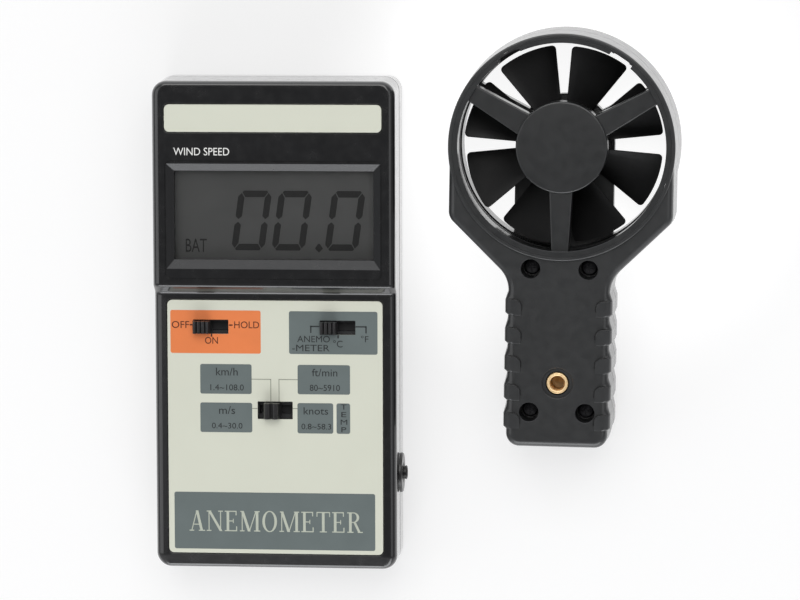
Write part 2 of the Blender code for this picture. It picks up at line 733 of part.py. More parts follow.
def probe_shells():
    """The body's two halves. Each holds half of the ring around the vane and half of the handle."""
    room = [point for point in handle_outline(HANDLE_WALL) if point[1] < NECK_Y + 3]
    ring_end = PROBE_SPLIT + 8
    upper = slab("probe_upper_shell", handle_outline(), PROBE_SPLIT - 6, HANDLE_TOP)
    lower = slab("probe_lower_shell", handle_outline(), 0, PROBE_SPLIT + 6)
    join(
        soften(upper, 2.2),
        rods("upper_ring", [(0, 0)], RING_RADIUS, PROBE_SPLIT - 8, PROBE_TOP, sides=RING_SIDES),
        grip_ribs("upper", PROBE_SPLIT - 4, HANDLE_TOP + GRIP_PROUD),
    )
    join(
        soften(lower, 2.2),
        rods("lower_ring", [(0, 0)], REAR_RING_RADIUS, 0, ring_end, sides=RING_SIDES),
        grip_ribs("lower", 1.4, PROBE_SPLIT + 4),
    )
    all_round = (-60, 60, -120, 60)
    cut(upper, block("upper_parting", all_round, -12, PROBE_SPLIT))
    cut(lower, block("lower_parting", all_round, PROBE_SPLIT - GAP, 36))
    for body, low, high in (
        (upper, PROBE_SPLIT - 3, HANDLE_TOP - HANDLE_WALL),
        (lower, HANDLE_WALL, PROBE_SPLIT + 3),
    ):
        bore = rods(body.name + "_bore", [(0, 0)], RING_BORE, -5, 40, sides=RING_SIDES)
        cut(body, bore, slab(body.name + "_room", room, low, high))
    join(
        upper,
        rods("well_walls", PROBE_SCREWS, 4.2, PROBE_SPLIT + 0.6, HANDLE_TOP - 1.2),
        rods("insert_boss", [(0, INSERT_Y)], 6.2, PROBE_SPLIT + 0.6, HANDLE_TOP - 1.2),
    )
    join(lower, rods("screw_bosses", PROBE_SCREWS, 3.4, 1.0, PROBE_SPLIT - 0.8, sides=12))
    cut(
        upper,
        rods("screw_wells_probe", PROBE_SCREWS, SCREW_WELL, PROBE_SPLIT + 3.4, 40),
        rods("well_holes", PROBE_SCREWS, 1.5, 0, 40, sides=8),
        rods("insert_rim", [(0, INSERT_Y)], 4.8, HANDLE_TOP - 0.7, 40),
        rods("insert_hole", [(0, INSERT_Y)], INSERT_RADIUS + GAP, PROBE_SPLIT + 1.6, 40),
    )
    cut(lower, rods("boss_holes", PROBE_SCREWS, 1.4, 3, 40, sides=8))
    for body in (upper, lower):
        socket_hole = rods(body.name + "_socket_hole", [(PROBE_SPLIT, 0)], 3.3,
                           HANDLE_END - 3, HANDLE_END + 6, along="Y", sides=20)
        wire_way = block(body.name + "_wire_way", (-3, 3, -46, -30), 8.5, 13.0)
        finish(cut(body, socket_hole, wire_way), "probe_black")


# Probe: vane.


def spoke(name, angle, low, high, root, tip, reach):
    """A tapered arm from the axis to the band, pointing along this angle."""
    bm = bmesh.new()
    bmesh.ops.create_cube(bm, size=2)
    for vert in bm.verts:
        half = tip if vert.co.x > 0 else root
        x = reach if vert.co.x > 0 else 2.0
        vert.co = Vector((x, half * vert.co.y, high if vert.co.z > 0 else low)) * MM
    bmesh.ops.rotate(bm, verts=bm.verts, matrix=Matrix.Rotation(math.radians(angle), 3, "Z"))
    return add_mesh(name, bm)


def upper_spider():
    """The band, three arms and round cap that carry the vane's upper bearing."""
    low = PROBE_SPLIT + GAP
    band = ring("upper_spider", BAND_RADIUS, BAND_BORE, low, PROBE_TOP - 0.1, sides=RING_SIDES)
    arm_low, arm_high = BLADE_HIGH + 1.4, PROBE_TOP - 0.5
    for angle in SPOKE_ANGLES:
        join(band, spoke(f"upper_arm_{angle}", angle, arm_low, arm_high, SPOKE_ROOT, SPOKE_TIP, ARM_REACH))
    cap = rods("upper_cap", [(0, 0)], HUB_RADIUS, arm_low, PROBE_TOP - 0.3, sides=40)
    soften(cap, 0.5, 2, 50)
    join(band, cap)
    for angle in NOTCH_ANGLES:
        rect = (BAND_BORE - 2, BAND_BORE + NOTCH_DEPTH, -NOTCH_HALF_WIDTH, NOTCH_HALF_WIDTH)
        notch = block(f"notch_{angle}", rect, low - 1, PROBE_TOP + 1)
        notch.data.transform(Matrix.Rotation(math.radians(angle), 4, "Z"))
        cut(band, notch)
    seat_top = arm_low + BEARING_HEIGHT + GAP
    cut(band, rods("upper_bearing_seat", [(0, 0)], BEARING_RADIUS + GAP, arm_low - 1, seat_top, sides=20))
    finish(band, "probe_black")


def lower_spider():
    """The lower band and arms. A broad tongue carries the wires to a hollow hub."""
    high = PROBE_SPLIT - 2 * GAP
    band = ring("lower_spider", BAND_RADIUS, BAND_BORE, 0.2, high, sides=RING_SIDES)
    arm_low, arm_high = 0.6, BLADE_LOW - 1.0
    for angle in SPOKE_ANGLES[:2]:
        join(band, spoke(f"lower_arm_{angle}", angle, arm_low, arm_high, SPOKE_ROOT, SPOKE_TIP, ARM_REACH))
    half = REAR_HUB_RADIUS
    reach = math.asin(half / ARM_REACH)
    arc = [reach * (share / 4 - 1) for share in range(9)]
    foot = [(ARM_REACH * math.sin(turn), -ARM_REACH * math.cos(turn)) for turn in arc]
    tongue = slab("tongue", [*foot, (half, 0), (-half, 0)], arm_low, arm_high)
    hub = rods("lower_hub", [(0, 0)], half, arm_low, arm_high, sides=40)
    join(tongue, hub)
    join(band, tongue)
    room_top = arm_high - 3.6
    room = rods("hub_room", [(0, 0)], HUB_ROOM_RADIUS, -1, room_top, sides=32)
    seat_low = arm_high - BEARING_HEIGHT - GAP
    cut(
        band,
        room,
        rods("lower_bearing_seat", [(0, 0)], BEARING_RADIUS + GAP, seat_low, arm_high + 1, sides=20),
        rods("lower_shaft_way", [(0, 0)], 2 * SHAFT_RADIUS, -1, arm_high + 1, sides=12),
        block("tongue_way", (-2.5, 2.5, -31, 0), -1, room_top),
    )
    finish(band, "probe_black")
    finish(rods("hub_lid", [(0, 0)], LID_RADIUS, *LID, sides=32), "probe_black")


def blade_sheet(name):
    """The middle surface of every blade: a helical sweep that climbs anticlockwise."""
    across, along = 2, 3
    bm = bmesh.new()
    for blade in range(BLADES):
        middle = FIRST_BLADE + 360 / BLADES * blade
        rows = []
        for i in range(across + 1):
            radius = BLADE_ROOT - 1.2 + (BLADE_TIP - BLADE_ROOT + 1.2) * i / across
            row = []
            for j in range(along + 1):
                share = j / along
                angle = math.radians(middle + BLADE_SWEEP * (share - 0.5))
                height = BLADE_LOW + 0.6 + (BLADE_HIGH - BLADE_LOW - 1.2) * share
                place = (radius * math.cos(angle), radius * math.sin(angle), height)
                row.append(bm.verts.new(Vector(place) * MM))
            rows.append(row)
        for inner, outer in zip(rows, rows[1:]):
            for j in range(along):
                bm.faces.new((inner[j], outer[j], outer[j + 1], inner[j + 1]))
    return add_mesh(name, bm)


def impeller():
    rim, boss, hole = BLADE_ROOT - 1.4, 2.4, 0.95
    web_low, web_high = HUB_WEB
    hub = [
        (BLADE_ROOT, BLADE_HIGH),
        (BLADE_ROOT, BLADE_LOW),
        (rim, BLADE_LOW),
        (rim, web_low),
        (boss, web_low),
        (boss, BLADE_LOW + 1.4),
        (hole, BLADE_LOW + 1.4),
        (hole, BLADE_HIGH - 0.6),
        (boss, BLADE_HIGH - 0.6),
        (boss, web_high),
        (rim, web_high),
        (rim, BLADE_HIGH),
    ]
    wheel = turned("impeller", hub, sides=24)
    blades = blade_sheet("blades")
    solid = blades.modifiers.new("thickness", "SOLIDIFY")
    solid.thickness = 0.9 * MM
    solid.offset = 0
    finish(join(wheel, blades), "knob_black")
    hang_on_axis(wheel, (0, 0), (BLADE_LOW + BLADE_HIGH) / 2)

    shaft_low, shaft_high = BLADE_LOW - 2.9, BLADE_HIGH + 3.3
    shaft = rods("impeller_shaft", [(0, 0)], SHAFT_RADIUS, shaft_low, shaft_high, sides=12)
    finish(shaft, "screw_steel")
    magnet = ring("rotor_magnet", 7.4, 3.0, HUB_WEB[0] - 2.8, HUB_WEB[0] - 0.4, sides=20)
    finish(magnet, "chip_black")


def vane_bearings():
    for side, low in (("upper", BLADE_HIGH + 1.4), ("lower", BLADE_LOW - 1.0 - BEARING_HEIGHT)):
        bearing = ring(f"{side}_bearing", BEARING_RADIUS, BEARING_BORE, low, low + BEARING_HEIGHT,
                       sides=16)
        finish(bearing, "screw_steel")


def pickup():
    """The sensor that counts the vane's turns, and the lead that carries it to the handle."""
    board = rods("pickup_board", [(0, 0)], 10.5, 1.6, 2.3, sides=32)
    finish(board, "board_green")
    lead("pickup_lead", [(0, -11.2, 1.95), (0, -16, 1.7), (0, -24, 1.7), (0, -29.5, 1.9)], 0.5,
         "lead_black")


def handle_contents():
    insert = ring("tripod_insert", INSERT_RADIUS, INSERT_BORE, PROBE_SPLIT + 2.0, HANDLE_TOP - 0.5,
                  sides=24)
    insert.location = Vector((0, INSERT_Y, 0)) * MM
    finish(insert, "brass")
    for i, place in enumerate(PROBE_SCREWS, 1):
        head_low = PROBE_SPLIT + 3.4 + GAP
        screw(f"probe_screw_{i}", place, head_low, head_low + 1.8, 2.6, 4.0, 1.1, along_up=False)
    board = block("handle_board", (-7.0, 7.0, -66.0, -46.5), 8.6, 10.0)
    finish(board, "board_green")
    chip = block("handle_amplifier", (-3.4, 3.4, -60.0, -52.0), 6.0, 8.3)
    finish(chip, "chip_black")
    socket = rods("probe_socket", [(PROBE_SPLIT - 0.15, 0)], 3.0, HANDLE_END + 0.2, HANDLE_END + 13,
                  along="Y", sides=20)
    cut(socket, rods("probe_socket_bore", [(PROBE_SPLIT - 0.15, 0)], 1.75, HANDLE_END - 2,
                     HANDLE_END + 11, along="Y", sides=20))
    finish(socket, "knob_black")


def probe():
    probe_shells()
    upper_spider()
    lower_spider()
    impeller()
    vane_bearings()
    pickup()
    handle_contents()
    adopt("probe_station", PROBE_PLACE, PROBE_TURN)


meter()
probe()
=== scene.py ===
"""Looks of the vane anemometer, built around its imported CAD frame.

Shapes are made in millimetres in the frame of the half that they belong to, as in the CAD: the
meter's has the middle of its back at the origin, the probe's has the vane's axis there. Each is
carried to its place, in metres, by the matrix of its half.
"""

import json
import math

import bmesh
import bpy
from mathutils import Matrix, Vector


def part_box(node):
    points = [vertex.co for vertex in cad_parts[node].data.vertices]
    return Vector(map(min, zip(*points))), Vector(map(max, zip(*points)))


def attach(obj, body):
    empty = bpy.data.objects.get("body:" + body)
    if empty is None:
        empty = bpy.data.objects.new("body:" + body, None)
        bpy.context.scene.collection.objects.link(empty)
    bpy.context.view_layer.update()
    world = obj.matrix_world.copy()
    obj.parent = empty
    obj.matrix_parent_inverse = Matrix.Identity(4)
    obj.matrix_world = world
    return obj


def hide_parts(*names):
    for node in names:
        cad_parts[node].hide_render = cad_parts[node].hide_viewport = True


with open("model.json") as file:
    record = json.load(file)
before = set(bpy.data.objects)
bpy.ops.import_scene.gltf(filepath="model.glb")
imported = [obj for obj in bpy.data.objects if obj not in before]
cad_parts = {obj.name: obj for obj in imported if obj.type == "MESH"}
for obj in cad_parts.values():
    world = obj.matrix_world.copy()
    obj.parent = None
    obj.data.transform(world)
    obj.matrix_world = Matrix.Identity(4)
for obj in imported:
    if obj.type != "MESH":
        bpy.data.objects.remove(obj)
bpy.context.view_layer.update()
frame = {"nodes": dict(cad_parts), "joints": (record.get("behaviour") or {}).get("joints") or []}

MM = 0.001
FULL_TURN, QUARTER_TURN = 2 * math.pi, math.pi / 2
SHARP = 0.02  # radius of a corner that looks sharp
HAIR = 0.004  # keeps faces that are joined out of one plane
PAST = 3  # how far most cutters reach past a surface

HALF_WIDTH, CASE_LOW, CASE_TOP = 38.2, -77.9, 77.0
CASE = (-HALF_WIDTH, HALF_WIDTH, CASE_LOW, CASE_TOP)  # a rectangle is x0, x1, y0, y1

# Where the two halves stand, from the CAD.
meter_low, meter_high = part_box("rear_case")
METER = Matrix.Translation(
    ((meter_low.x + meter_high.x) / 2, meter_high.y - CASE_TOP * MM, 0)
) @ Matrix.Scale(MM, 4)
spin = next(joint for joint in frame["joints"] if joint["name"] == "impeller_spin")
vane_axis = Vector((*spin["pos_m"][:2], 0))
insert_low, insert_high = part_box("tripod_insert")
to_insert = (insert_low + insert_high) / 2 - vane_axis
PROBE = (
    Matrix.Translation(vane_axis)
    @ Matrix.Rotation(math.atan2(to_insert.x, -to_insert.y), 4, "Z")
    @ Matrix.Scale(MM, 4)
)

# Meter.
DISPLAY_TOP, SWITCH_TOP, SPLIT = 27.0, 24.0, 12.0
GAP, WALL, LIP = 0.3, 2.0, 0.3  # the lip is the chamfer where two shells meet
CASE_CORNER, CASE_EDGE = 4.5, 2.4
FOOT_EDGE_SHARE, FOOT_FALL = 0.3, 0.24  # the lower end's edge is tighter, and its border slopes
HEAD_EDGE_SHARE, HEAD_LEAN = 0.55, 0.8  # so is the upper end's edge, and its wall leans in
BORDER_FALL, BORDER_INSET = 0.2, 4.0  # the border falls away beside the panel
STEP = [(13.0, 27.0), (12.3, 26.97), (11.9, 26.8), (11.5, 26.4), (10.0, 24.55), (9.6, 24.2),
        (9.2, 24.04), (8.5, 24.0)]  # the face's height down the step, as (y, z)
STRIP, PANEL = (-34.1, 34.1, 60.3, 68.9), (-34.0, 34.0, -73.0, 7.3)
LABEL_POCKET, LABEL_FLOOR, LABEL_CORNER, LABEL_EDGE = 0.7, 0.5, 1.5, 0.12
RECESS, WINDOW = (-33.6, 33.6, 17.4, 50.4), (-31.4, 31.4, 20.2, 48.1)
BEZEL, BEZEL_DEPTH, BEZEL_WIDTH = (-34.1, 34.1, 14.1, 51.35), 0.35, 0.32
RECESS_DEPTH = 1.8
LENS_TOP, LENS_LOW, GLASS_TOP, GLASS_LOW = 24.1, 22.7, 22.4, 20.2
SLOTS = {"power": ((-20.3, -1.1), (11.3, 4.5)), "function": ((19.8, -1.1), (11.3, 4.5)),
         "unit": ((0.0, -27.4), (11.1, 5.6))}
KNOBS = {"power": ((-23.05, -1.1), (5.4, 3.9)), "function": ((17.05, -1.1), (5.4, 3.9)),
         "unit": ((-0.92, -27.4), (5.2, 5.0))}
KNOB_TOP, KNOB_LOW, STEM_LOW = 27.2, 21.6, 19.1
CASE_SCREWS = [(-30.0, 68.0), (30.0, 68.0), (-32.5, -40.0), (32.5, -40.0)]
BAY = (-30.5, 30.5, CASE_LOW, -46.0)
RAIL = 1.2
BATTERY = (-29.5, 16.9, -74.4, -47.9)
BATTERY_LOW, BATTERY_HIGH = 2.7, 20.2
JACK = (-48.2, 13.0)  # y and z
CASE_POST, CASE_WELL, CASE_HOLE = 3.4, 2.9, 1.5  # radii around each case screw

# Probe.
RING_TOP_RADIUS, RING_FOOT_RADIUS, RING_BORE = 35.2, 36.3, 34.0  # the ring's wall is a cone
RING_SIDES, HUB_SIDES = 160, 128
RING_EDGES = {"upper": (0.45, 0.12), "lower": (0.12, 0.8)}  # top and foot
BAND_RADIUS, BAND_BORE = 33.94, 32.3
ARM_REACH, ARM_ROOT, ARM_TIP = 33.3, 4.2, 2.65  # length and half widths
BEARING_SEAT = 3.3
PROBE_TOP, HANDLE_TOP, PROBE_SPLIT = 29.0, 28.0, 14.5
SHOULDER, HANDLE_X, NECK_Y, HANDLE_END = (35.3, -22.7), 16.3, -41.2, -94.1
HANDLE_EDGE, DRAFT, PROBE_LIP = 2.2, 0.45, 0.25  # the upper shell leans in by the draft
HANDLE_ROOM, HANDLE_WALL = (-14.2, 14.2, -91.7, -42.5), 2.2
HUB_RADIUS, REAR_HUB = 14.25, 15.6
SPOKE_ANGLES = (30, 150, 270)
NOTCH_ANGLES = (57, 121)
BLADES, BLADE_SWEEP, FIRST_BLADE = 8, 34.5, 113.7
BLADE_ROOT, BLADE_TIP, BLADE_LOW, BLADE_HIGH = 12.8, 31.0, 9.0, 19.0
PROBE_SCREWS = [(-8.95, -37.9), (8.95, -37.9), (-8.75, -82.7), (8.75, -82.7)]
INSERT_Y, INSERT_RADIUS, INSERT_BORE = -73.5, 3.4, 2.3
GRIP_TOPS = [-47.6 - 8.9 * rib for rib in range(5)]
PADS = [(top, side) for top in GRIP_TOPS for side in (-1, 1)]
GRIP_HEIGHT, GRIP_INNER = 4.9, 11.6
TOOTH_PROUD, TOOTH_RAMP, TOOTH_LIMIT = 0.85, 3.6, -45.1  # teeth slope out, below the neck
TRENCH, TRENCH_DEPTH = 0.35, 0.4  # a groove round the inner and upper edges of each pad
PAD_RISE, PAD_FALL = 0.85, 0.65  # height at a pad's upper edge, and its fall to the lower one


# Outlines, as lists of (x, y) points.


def rounded(corners, radii, steps):
    """A closed outline whose corners are rounded, each to its own radius."""
    points = []
    count = len(corners)
    for i, (corner, radius) in enumerate(zip(corners, radii)):
        here = Vector(corner)
        before = (Vector(corners[i - 1]) - here).normalized()
        after = (Vector(corners[(i + 1) % count]) - here).normalized()
        half = before.angle(after) / 2
        radius = max(radius, SHARP)
        centre = here + (before + after).normalized() * (radius / math.sin(half))
        start = here + before * (radius / math.tan(half)) - centre
        turn = (math.pi - 2 * half) * (1 if before.cross(after) < 0 else -1)
        for step in range(steps + 1):
            points.append(tuple(centre + Matrix.Rotation(turn * step / steps, 2) @ start))
    return points


def inset(rect, by):
    x0, x1, y0, y1 = rect
    return (x0 + by, x1 - by, y0 + by, y1 - by)


def corners_of(rect):
    x0, x1, y0, y1 = rect
    return [(x0, y0), (x1, y0), (x1, y1), (x0, y1)]


def around(centre, size):
    (x, y), (width, length) = centre, size
    return (x - width / 2, x + width / 2, y - length / 2, y + length / 2)


def box_outline(rect, corner, steps=8):
    """A function of an inset that gives a rectangle with rounded corners."""
    return lambda by: rounded(corners_of(inset(rect, by)), [corner - by] * 4, steps)


def on_circle(radius, sides):
    turns = [FULL_TURN * i / sides for i in range(sides)]
    return [(radius * math.cos(a), radius * math.sin(a)) for a in turns]


def circle_outline(centre, radius, sides=48):
    return lambda by: [(centre[0] + x, centre[1] + y) for x, y in on_circle(radius - by, sides)]


# Solids, as objects that the last step of each piece gives a name.


def shape(bm):
    bmesh.ops.recalc_face_normals(bm, faces=bm.faces)
    mesh = bpy.data.meshes.new("shape")
    bm.to_mesh(mesh)
    bm.free()
    obj = bpy.data.objects.new("shape", mesh)
    bpy.context.scene.collection.objects.link(obj)
    return obj


def bridge(bm, layers):
    """Faces from each ring of vertices to the next. A ring may be one vertex, repeated."""
    for lower, upper in zip(layers, layers[1:]):
        for i in range(len(lower)):
            j = (i + 1) % len(lower)
            corners = list(dict.fromkeys((lower[i], lower[j], upper[j], upper[i])))
            if len(corners) > 2:
                bm.faces.new(corners)


def loft(rings):
    """A solid through rings of points, closed by a flat face at each end."""
    bm = bmesh.new()
    layers = [[bm.verts.new(point) for point in ring] for ring in rings]
    bridge(bm, layers)
    bm.faces.new(layers[0][::-1])
    bm.faces.new(layers[-1])
    return shape(bm)


def slab(points, low, high):
    return loft([[(x, y, z) for x, y in points] for z in (low, high)])


def beam(points, start, end):
    """A solid of this outline, given as (x, z), along Y."""
    return loft([[(x, y, z) for x, z in points] for y in (start, end)])


def prism(outline, sections):
    """A solid of this outline, pulled in at each (height, inset)."""
    return loft([[(x, y, z) for x, y in outline(by)] for z, by in sections])


def edge_up(top, radius, steps):
    """Sections round an upper edge."""
    turns = [QUARTER_TURN * i / steps for i in range(steps + 1)]
    return [(top - radius + radius * math.sin(a), radius * (1 - math.cos(a))) for a in turns]


def edge_down(low, radius, steps):
    """Sections round a lower edge."""
    return [(2 * low - z, by) for z, by in reversed(edge_up(low, radius, steps))]


def block(rect, low, high, corner=SHARP, edge=0.0, foot=0.0):
    """A box with rounded corners, and rounded upper and lower edges."""
    lower = edge_down(low, foot, 3) if foot else [(low, 0)]
    upper = edge_up(high, edge, 3) if edge else [(high, 0)]
    return prism(box_outline(rect, max(corner, edge, foot) + SHARP, 4), lower + upper)


def rod(centre, radius, low, high, sides=48):
    return prism(circle_outline(centre, radius, sides), [(low, 0), (high, 0)])


def turned(profile, sides=96):
    """A turned solid about Z, through closed (radius, height) points."""
    bm = bmesh.new()
    rings = []
    for radius, height in profile:
        if radius < 1e-6:
            rings.append([bm.verts.new((0, 0, height))] * sides)
        else:
            rings.append([bm.verts.new((x, y, height)) for x, y in on_circle(radius, sides)])
    bridge(bm, [*rings, rings[0]])
    return shape(bm)


def moved(obj, matrix):
    obj.data.transform(matrix)
    if matrix.determinant() < 0:
        obj.data.flip_normals()
    return obj


def shifted(obj, x, y, z=0.0):
    return moved(obj, Matrix.Translation((x, y, z)))


def turned_by(obj, degrees):
    return moved(obj, Matrix.Rotation(math.radians(degrees), 4, "Z"))


ALONG_X = Matrix(((0, 0, 1, 0), (1, 0, 0, 0), (0, 1, 0, 0), (0, 0, 0, 1)))
ALONG_Y = Matrix(((0, 1, 0, 0), (0, 0, 1, 0), (1, 0, 0, 0), (0, 0, 0, 1)))


def keep_shape(obj):
    """Applies the object's modifiers."""
    graph = bpy.context.evaluated_depsgraph_get()
    mesh = bpy.data.meshes.new_from_object(obj.evaluated_get(graph))
    obj.modifiers.clear()
    obj.data = mesh
    return obj


def combined(obj, others, operation):
    for other in others:
        boolean = obj.modifiers.new("combine", "BOOLEAN")
        boolean.operation = operation
        boolean.solver = "EXACT"
        boolean.object = other
    keep_shape(obj)
    for other in others:
        bpy.data.objects.remove(other)
    return obj


def cut(obj, *cutters):
    return combined(obj, cutters, "DIFFERENCE")


def joined(obj, *others):
    return combined(obj, others, "UNION")


def common(obj, other):
    return combined(obj, [other], "INTERSECT")


def bevelled(obj, width, sharper_than=40):
    bevel = obj.modifiers.new("edge", "BEVEL")
    bevel.width = width
    bevel.segments = 2
    bevel.limit_method = "ANGLE"
    bevel.angle_limit = math.radians(sharper_than)
    return keep_shape(obj)


def gathered(objs):
    """Separate solids as one object."""
    bm = bmesh.new()
    for obj in objs:
        bm.from_mesh(obj.data)
        bpy.data.objects.remove(obj)
    return shape(bm)


def pocket(outline, floor, surface, chamfer):
    """A cutter whose upper edge is broken by a small chamfer."""
    return prism(outline, [(floor, 0), (surface - chamfer, 0), (surface, -chamfer),
                           (surface + 1, -chamfer)])


def opening(rect, floor, surface, corner, chamfer):
    return pocket(box_outline(rect, corner + chamfer, 6), floor, surface, chamfer)


def well(centre, radius, floor, surface, chamfer=0.25):
    return pocket(circle_outline(centre, radius), floor, surface, chamfer)


# Materials.


def node(tree, kind, **settings):
    made = tree.nodes.new(kind)
    for key, value in settings.items():
        if key in made.inputs:
            made.inputs[key].default_value = value
        else:
            setattr(made, key, value)
    return made


def ramp(tree, value, stops):
    """Colours at rising positions."""
    made = node(tree, "ShaderNodeValToRGB")
    points = made.color_ramp.elements
    while len(points) < len(stops):
        points.new(0.5)
    for point, (position, colour) in zip(points, stops):
        point.position = position
        point.color = (*colour, 1)
    tree.links.new(value, made.inputs["Fac"])
    return made.outputs["Color"]


def remap(tree, value, start, end, **settings):
    """Carries a value from one range to another."""
    made = node(tree, "ShaderNodeMapRange", **settings)
    for key, number in zip(("From Min", "From Max", "To Min", "To Max"), (*start, *end)):
        made.inputs[key].default_value = number
    tree.links.new(value, made.inputs["Value"])
    return made.outputs["Result"]


NOISE_LOW, NOISE_HIGH = 0.3, 0.7  # the part of the noise's range that shows
SCUFF_SIZE, SCUFF_STRETCH, SCUFF_TURN = 0.5, (1.0, 0.06, 1.0), (0.0, 0.0, 0.5)


def finish_of(name, colour, roughness, metallic=0.0, coat=0.0, coat_roughness=0.1, ior=1.5,
              mottle=0.12, mottle_size=14.0, rough_spread=0.06, grain=0.35, grain_depth=0.012,
              scuffs=0.0, alpha=1.0):
    """A moulded, printed or metal surface. Sizes are in millimetres: blotches of colour and gloss
    of about mottle_size, a fine grain of that size and depth, and faint longer scuffs."""
    made = bpy.data.materials.new(name)
    made.use_nodes = True
    tree = made.node_tree
    link = tree.links.new
    shader = tree.nodes["Principled BSDF"]
    for socket, value in {"Metallic": metallic, "IOR": ior, "Coat Weight": coat,
                          "Coat Roughness": coat_roughness, "Alpha": alpha}.items():
        shader.inputs[socket].default_value = value
    place = node(tree, "ShaderNodeTexCoord").outputs["Object"]

    def noise(size, detail, at=place):
        texture = node(tree, "ShaderNodeTexNoise", Scale=1 / (size * MM), Detail=detail)
        link(at, texture.inputs["Vector"])
        return texture.outputs["Fac"]

    def bump(height, strength, below=None):
        relief = node(tree, "ShaderNodeBump", Strength=strength, Distance=grain_depth * MM)
        link(height, relief.inputs["Height"])
        if below is not None:
            link(below, relief.inputs["Normal"])
        return relief.outputs["Normal"]

    shades = [(NOISE_LOW, [c * (1 - mottle) for c in colour]),
              (NOISE_HIGH, [min(1, c * (1 + mottle)) for c in colour])]
    link(ramp(tree, noise(mottle_size, 3.0), shades), shader.inputs["Base Color"])
    gloss = (max(0.02, roughness - rough_spread), roughness + rough_spread)
    fine = noise(mottle_size / 5, 4.0)
    link(remap(tree, fine, (NOISE_LOW, NOISE_HIGH), gloss), shader.inputs["Roughness"])
    normal = bump(noise(grain, 2.0), 1.0)
    if scuffs:
        stretch = node(tree, "ShaderNodeMapping", Scale=SCUFF_STRETCH, Rotation=SCUFF_TURN)
        link(place, stretch.inputs["Vector"])
        normal = bump(noise(SCUFF_SIZE, 1.0, stretch.outputs["Vector"]), scuffs, normal)
    link(normal, shader.inputs["Normal"])
    return made


MOULDED = dict(coat=0.6, coat_roughness=0.14, mottle=0.08, grain_depth=0.004)
PRINTED = dict(grain=0.3, grain_depth=0.003, ior=1.4)
INKED = dict(mottle=0.05, mottle_size=3.0, grain_depth=0.002, ior=1.4)
FINISHES = {  # colour, roughness and the rest
    "case_black": ((0.0092, 0.0092, 0.0101), 0.22, dict(
        coat=1.0, coat_roughness=0.06, mottle=0.10, grain=0.45, grain_depth=0.002)),
    "probe_black": ((0.0218, 0.0226, 0.0236), 0.40, MOULDED),
    "vane_black": ((0.0155, 0.0163, 0.0172), 0.40, MOULDED),
    "knob_black": ((0.0140, 0.0136, 0.0141), 0.36, dict(
        coat=0.35, coat_roughness=0.2, grain=0.25, mottle_size=4.0, grain_depth=0.008)),
    "blade_black": ((0.0125, 0.0125, 0.0130), 0.5, dict(
        ior=1.36, mottle_size=6.0, grain=0.3, grain_depth=0.004)),
    "label_cream": ((0.68, 0.693, 0.592), 0.42, dict(PRINTED, mottle=0.015, mottle_size=22.0)),
    "ink_orange": ((0.80, 0.225, 0.072), 0.5, dict(PRINTED, mottle=0.03, mottle_size=9.0)),
    "ink_grey": ((0.135, 0.163, 0.162), 0.5, dict(PRINTED, mottle=0.04, mottle_size=9.0)),
    "ink_dark": ((0.024, 0.026, 0.028), 0.45, INKED),
    "ink_brown": ((0.065, 0.017, 0.010), 0.45, dict(INKED, mottle=0.06)),
    "ink_line": ((0.26, 0.27, 0.22), 0.45, INKED),
    "ink_pale": ((0.50, 0.53, 0.45), 0.45, dict(INKED, mottle=0.03, mottle_size=4.0)),
    "ink_white": ((0.82, 0.82, 0.80), 0.45, dict(INKED, mottle=0.02, mottle_size=4.0)),
    "window_grey": ((0.05, 0.05, 0.05), 0.10, dict(grain_depth=0.001, mottle=0.02, alpha=0.10)),
    "display_glass": ((0.077, 0.078, 0.077), 0.34, dict(
        mottle=0.04, mottle_size=26.0, grain_depth=0.002)),
    "display_segment": ((0.003, 0.003, 0.003), 0.4, dict(
        mottle=0.04, mottle_size=8.0, grain_depth=0.002)),
    "board_green": ((0.018, 0.11, 0.042), 0.38, dict(
        mottle=0.2, mottle_size=5.0, grain=0.8, grain_depth=0.03)),
    "chip_black": ((0.014, 0.014, 0.015), 0.55, dict(
        mottle_size=3.0, grain=0.2, grain_depth=0.02)),
    "switch_steel": ((0.045, 0.045, 0.048), 0.42, dict(
        metallic=0.3, mottle_size=4.0, grain=0.3, grain_depth=0.006, scuffs=0.3)),
    "bright_steel": ((0.56, 0.57, 0.58), 0.28, dict(
        metallic=1.0, mottle_size=4.0, grain=0.4, grain_depth=0.004, scuffs=0.4)),
    "screw_steel": ((0.06, 0.06, 0.065), 0.36, dict(
        metallic=0.8, mottle_size=2.0, grain=0.3, grain_depth=0.008)),
    "brass": ((0.97, 0.72, 0.42), 0.55, dict(
        metallic=1.0, mottle=0.06, mottle_size=1.5, grain=0.25, grain_depth=0.006, scuffs=0.3)),
    "battery_shell": ((0.05, 0.07, 0.10), 0.30, dict(
        metallic=0.5, coat=0.6, mottle_size=12.0, grain_depth=0.003)),
    "lead_red": ((0.45, 0.02, 0.02), 0.42, dict(mottle_size=3.0)),
    "lead_black": ((0.012, 0.012, 0.013), 0.45, dict(mottle_size=3.0)),
    "zebra_grey": ((0.30, 0.30, 0.31), 0.6, dict(mottle_size=2.0)),
    "trimmer_blue": ((0.03, 0.08, 0.36), 0.38, dict(mottle_size=3.0)),
}
LOOKS = {name: finish_of(name, colour, roughness, **more)
         for name, (colour, roughness, more) in FINISHES.items()}


# Pieces.


